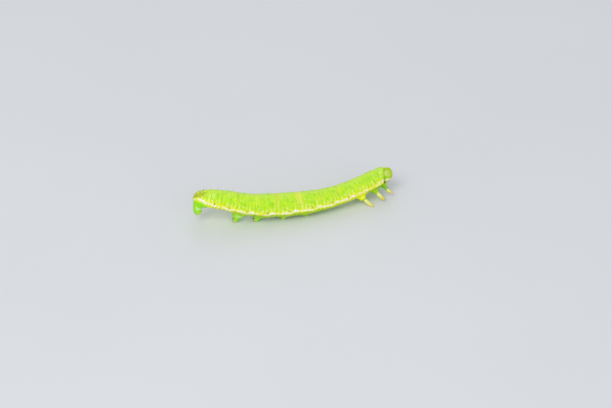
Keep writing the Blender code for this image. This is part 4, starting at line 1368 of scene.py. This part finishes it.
def ring_and_plate_colours(f, colour):
    """Rings between the segments, the plates at either end, the front one paler as a painted highlight,
    painted shade round the head, and the tail's and neck's spots.
    """
    ring = f.mix(f.mark("rosy"), RING_YELLOW, RING_ROSE)
    broken = f.patches(1.6, 0.30, 0.56, 2.0, (1.0, 1.6, 1.0))
    colour = f.over(colour, ring, f.mark("rings"), f.maths("ADD", f.times(broken, 0.5), 0.45))
    # darker green at the rim round the head: painted shade in the crease of the neck
    colour = f.over(colour, GREEN_DEEP, f.mark("collar"), 0.75)
    # the shield made paler: a painted highlight on the top of the first segment
    colour = f.over(colour, GREEN_PALE, f.mark("shield"), 0.30)
    colour = f.over(colour, OLIVE, f.mark("plate"), 0.75)
    rusty = f.times(f.mark("rusty"), f.patches(3.4, 0.46, 0.60, 3.0))
    colour = f.over(colour, RUST, rusty, 0.60)
    ragged = f.swing(f.places(), 4.0, 0.6)
    tones = (("brown_spots", 0.7, RUST), ("pale_spots", 0.9, PALE_SPOT), ("warts", 0.9, LEMON))
    for name, strength, tone in tones:
        inside = f.step(f.plus(f.mark(name), ragged), 0.30, 0.75)
        colour = f.over(colour, tone, inside, strength)
    return f.over(colour, PORE_YELLOW, f.step(f.mark("spiracle"), 0.35, 0.75), 0.5)


def stripe_colours(f, colour):
    """A golden band with a wavy pale core, and an uneven white blotch on each fold."""
    crest, spot, pale = f.mark("crest"), f.mark("spot"), f.mark("pale")
    across = f.plus(f.mark("band"), f.swing(f.places(), 2.6, 0.36, 3.0))
    off = f.maths("ABSOLUTE", across)
    edge = f.mix(f.mark("gold"), LEMON, GOLDEN)
    colour = f.mix(f.step(off, 0.33, 0.17), colour, edge)
    uneven = f.maths("SUBTRACT", f.noise(f.places(), 5.2, 2.0), 0.5)
    core = f.plus(f.maths("ABSOLUTE", f.plus(across, 0.035)), f.times(uneven, 0.16))
    core = f.maths("SUBTRACT", core, f.times(spot, 0.03))
    clear = f.patches(1.1, 0.34, 0.50, 1.0)
    colour = f.over(colour, CREAM, f.step(core, 0.20, 0.08), pale, clear, 0.85)
    swell = f.plus(f.maths("ADD", crest, f.times(spot, 0.5)), uneven)
    strength = f.maths("ADD", f.times(clear, pale), spot)
    blotch = f.times(f.step(core, 0.18, 0.05), f.step(swell, 0.35, 1.0), strength)
    colour = f.over(colour, WHITE, blotch, 0.92)
    patch = f.plus(f.mark("white_spots"), f.times(uneven, 0.7))
    white = f.mix(f.step(f.mark("along"), 0.90, 0.93), WHITE, CREAM)
    return f.over(colour, white, f.step(patch, 0.26, 0.72), 0.9)


def proleg_colours(f, colour):
    """Light green prolegs with pale mottles, stronger on the claspers and, as a painted highlight, on the
    sixth segment's, and a pinkish sole.
    """
    foot, along = f.mark("foot"), f.mark("along")
    green = f.mix(f.patches(2.6, 0.40, 0.62, 3.0), PROLEG_GREEN, PROLEG_LIGHT)
    colour = f.mix(f.mark("proleg"), colour, green)
    mottled = f.patches(1.9, 0.42, 0.56)
    patch = f.times(f.step(foot, 0.26, 0.40), f.step(foot, 0.70, 0.54), mottled)
    # stronger pale patches on the sixth segment's prolegs: a painted highlight
    start, end = A6_HIGHLIGHT_SHARE
    a6_highlight = f.times(f.step(along, start - 0.02, start), f.step(along, end + 0.02, end))
    on_tail = f.step(along, 0.06, 0.04)
    share = f.maths("ADD", f.times(f.maths("ADD", a6_highlight, on_tail), 0.5), 0.22)
    colour = f.over(colour, PROLEG_MOTTLE_AND_HIGHLIGHT, patch, share)
    colour = f.over(colour, PROLEG_FOOT, f.step(foot, 0.74, 0.92), 0.7)
    return f.over(colour, ROSE, f.step(foot, 0.93, 1.0), 0.8)


def head_finish():
    f = Finish(
        "head_capsule",
        Coat_Weight=0.22,
        Coat_Roughness=0.16,
        Specular_IOR_Level=0.3,
        Subsurface_Weight=0.10,
        Subsurface_Radius=(1.0, 0.9, 0.3),
        Subsurface_Scale=0.25 * MM,
    )
    face = f.places("face")
    ahead, left, up = f.node("SeparateXYZ", {0: face}).outputs
    across = f.maths("ABSOLUTE", left)
    netting = f.step(f.cells(face, 9.0, "DISTANCE_TO_EDGE"), 0.10, 0.30)
    colour = f.mix(f.times(netting, 0.50), HEAD_GREEN, HEAD_LIME)
    lobe = f.times(f.step(ahead, 0.32, -0.05), f.step(across, 0.25, 0.60), f.step(up, 0.25, 0.50))
    lobe = f.times(lobe, f.step(f.noise(face, 3.0, 2.0), 0.36, 0.56), 0.60)
    behind = f.times(f.step(ahead, 0.10, -0.12), f.step(up, 0.34, 0.10), 0.8)
    cheek = f.times(f.step(up, 0.20, 0.00), f.step(up, -0.62, -0.40), f.step(across, 0.40, 0.62))
    cheek = f.times(cheek, f.step(f.noise(face, 3.0, 3.0), 0.20, 0.40), f.step(ahead, -0.12, 0.12))
    layers = (
        (lobe, HEAD_LOBE),
        (f.times(f.step(up, -0.10, -0.5), 0.7), HEAD_LOW),
        (f.times(f.step(ahead, 0.62, 0.95), 0.75), HEAD_FRONT),
        (f.times(f.mark("frons"), 0.45), FRONS),
        (behind, HEAD_BEHIND),
        (cheek, CHEEK),
        (f.times(f.mark("lines"), 0.70), SUTURE),
        (f.times(f.mark("ocular"), 0.20), OCULAR),
        (f.step(f.mark("socket"), 0.5, 0.9), SOCKET),
        (f.step(f.mark("mouth"), 0.3, 0.9), MOUTH),
    )
    for amount, tone in layers:
        colour = f.mix(amount, colour, tone)
    dents = f.cells(f.solid(), 13.0, "DISTANCE_TO_EDGE")
    f.bump(f.maths("ADD", f.step(dents, 0.0, 0.2), f.noise(f.solid(), 22.0)), 0.22, 0.02)
    return f.done(colour, f.uneven_gloss(5.0, 3.2))


def shaded_finish(name, mark, wander, colour, layers, bump, gloss, **fixed):
    """A finish with tones laid over its first colour, each between two levels of a mark that noise moves."""
    f = Finish(name, **fixed)
    shade = f.maths("ADD", f.mark(mark), f.swing(f.solid(), *wander))
    for low, high, tone in layers:
        colour = f.mix(f.step(shade, low, high), colour, tone)
    scale, strength, distance = bump
    f.bump(f.noise(f.solid(), scale), strength, distance)
    return f.done(colour, f.uneven_gloss(*gloss))


def mouth_finish():
    soft = {"Coat_Weight": 0.3, "Coat_Roughness": 0.2}
    soft |= {"Subsurface_Weight": 0.1, "Subsurface_Scale": 0.2 * MM}
    layers = ((0.0, 0.5, PALP_AMBER), (0.55, 1.0, BROWN))
    wander, bump, gloss = (9.0, 0.35, 3.0), (20.0, 0.3, 0.015), (8.0, 3.0)
    return shaded_finish("mouthparts", "shade", wander, PALP_GREEN, layers, bump, gloss, **soft)


def jaw_finish():
    hard = {"Coat_Weight": 0.5, "Coat_Roughness": 0.12}
    layers = ((0.40, 0.85, BROWN), (0.75, 1.1, DARK))
    wander, bump, gloss = (7.0, 0.4, 3.0), (18.0, 0.25, 0.015), (6.0, 3.6)
    return shaded_finish("jaw", "edge", wander, JAW_YELLOW, layers, bump, gloss, **hard)


def feeler_finish():
    soft = {"Coat_Weight": 0.3, "Coat_Roughness": 0.2}
    layers = ((0.1, 0.6, FEELER_YELLOW), (0.75, 1.0, FEELER_TIP))
    wander, bump, gloss = (8.0, 0.3), (18.0, 0.2, 0.012), (8.0, 3.0)
    return shaded_finish("feeler", "shade", wander, FEELER_GREEN, layers, bump, gloss, **soft)


def spiracle_finish():
    hard = {"Coat_Weight": 0.3, "Coat_Roughness": 0.25}
    layers = ((0.1, 0.6, PORE_TAN), (0.6, 1.0, PORE_BROWN))
    wander, bump, gloss = (20.0, 0.3), (30.0, 0.3, 0.01), (12.0, 2.6)
    return shaded_finish("spiracles", "rim", wander, PORE_PALE, layers, bump, gloss, **hard)


def stemma_finish():
    f = Finish("stemmata", Coat_Weight=1.0, Coat_Roughness=0.04, Roughness=0.12)
    f.bump(f.noise(f.solid(), 25.0), 0.05, 0.01)
    return f.done(f.mix(f.noise(f.solid(), 10.0), DARK, EYE_BROWN))


def leg_finish():
    f = Finish(
        "leg_cuticle",
        Coat_Weight=0.4,
        Coat_Roughness=0.15,
        Subsurface_Weight=0.12,
        Subsurface_Radius=(1.0, 0.9, 0.4),
        Subsurface_Scale=0.2 * MM,
    )
    leg = f.maths("ADD", f.mark("leg"), f.swing(f.solid(), 3.5, 0.14, 3.0))
    past_green = f.maths("SUBTRACT", leg, f.mark("green_end"))
    colour = f.mix(f.step(past_green, -0.10, 0.10), LEG_GREEN, LEG_PALE)
    colour = f.over(colour, LEG_GOLD, f.step(leg, 0.44, 0.78), f.mark("golden"))
    colour = f.over(colour, LEG_AMBER, f.step(leg, 0.84, 1.0), 0.85)
    colour = f.mix(f.step(leg, 0.99, 1.08), colour, BROWN)
    f.bump(f.noise(f.solid(), 14.0, 3.0), 0.25, 0.02)
    return f.done(colour, f.uneven_gloss(6.0, 3.2))


def hair_finish():
    f = Finish("hairs", Coat_Weight=0.2, Coat_Roughness=0.3)
    wart = f.mix(f.noise(f.solid(), 12.0), WART_PALE, WART_GREEN)
    hair = f.mix(f.noise(f.solid(), 7.0), HAIR_LIGHT, HAIR_DARK)
    return f.done(f.mix(f.mark("hair"), wart, hair), f.uneven_gloss(9.0, 3.0))


def hook_finish():
    f = Finish("crochets", Coat_Weight=0.4, Coat_Roughness=0.15)
    return f.done(f.mix(f.noise(f.solid(), 9.0), HOOK_LIGHT, HOOK_DARK), f.uneven_gloss(9.0, 3.4))


# Floor, light and camera

FLOOR_SIZE = 1.2
# Name, azimuth and elevation (degrees), distance and size (m), power (W)
LIGHTS = (
    ("key", -46.0, 50.0, 0.40, 0.22, 0.56),
    ("fill", 16.0, 20.0, 0.45, 0.35, 0.34),
    ("back", 165.0, 40.0, 0.45, 0.30, 0.25),
)
WORLD_COLOUR, WORLD_STRENGTH = (0.95, 0.97, 1.0, 1.0), 0.55


def way_back(azimuth, elevation):
    """The direction from the object to a light or the camera."""
    a, e = math.radians(azimuth), math.radians(elevation)
    return Vector((math.sin(a) * math.cos(e), -math.cos(a) * math.cos(e), math.sin(e)))


def make_floor():
    bpy.ops.mesh.primitive_plane_add(size=FLOOR_SIZE)
    floor = bpy.context.object
    floor.name = "floor"
    f = Finish("floor", Roughness=0.7, Specular_IOR_Level=0.25)
    floor.data.materials.append(f.done(f.mix(f.noise(f.solid(), 0.02), FLOOR_DARK, FLOOR_LIGHT)))


def add_light(name, azimuth, elevation, distance, size, power):
    """A soft square light that looks at the middle of the object."""
    light = bpy.data.objects.new(name, bpy.data.lights.new(name, "AREA"))
    back = way_back(azimuth, elevation)
    light.location = back * distance
    light.rotation_euler = back.to_track_quat("Z", "Y").to_euler()
    light.data.size = size
    light.data.energy = power
    bpy.context.scene.collection.objects.link(light)


def make_lights():
    for row in LIGHTS:
        add_light(*row)
    world = bpy.data.worlds.new("studio")
    bpy.context.scene.world = world
    world.use_nodes = True
    background = world.node_tree.nodes["Background"].inputs
    background["Color"].default_value = WORLD_COLOUR
    background["Strength"].default_value = WORLD_STRENGTH


def make_camera():
    camera = bpy.data.objects.new("camera", bpy.data.cameras.new("camera"))
    back = way_back(VIEW_AZIMUTH, VIEW_ELEVATION)
    camera.location = (Vector(VIEW_AIM) + back * VIEW_DISTANCE) * MM
    camera.rotation_euler = back.to_track_quat("Z", "Y").to_euler()
    camera.data.sensor_width, camera.data.lens = VIEW_SENSOR, VIEW_LENS
    camera.data.clip_start, camera.data.clip_end = 0.01, 10.0
    bpy.context.scene.collection.objects.link(camera)
    bpy.context.scene.camera = camera
    bpy.context.scene.view_settings.view_transform = "Standard"


make_camera()
make_lights()
make_floor()
head = Head()
skin = make_skin(skin_finish())
skin_tree = tree_of(skin)
make_head_capsule(head, head_finish())
make_mouth(head, mouth_finish())
make_mandibles(head, jaw_finish())
make_antennae(head, feeler_finish())
make_stemmata(head, stemma_finish())
make_legs(leg_finish())
make_hairs(skin_tree, head, hair_finish())
make_spiracles(skin_tree, spiracle_finish())
make_crochets(hook_finish())
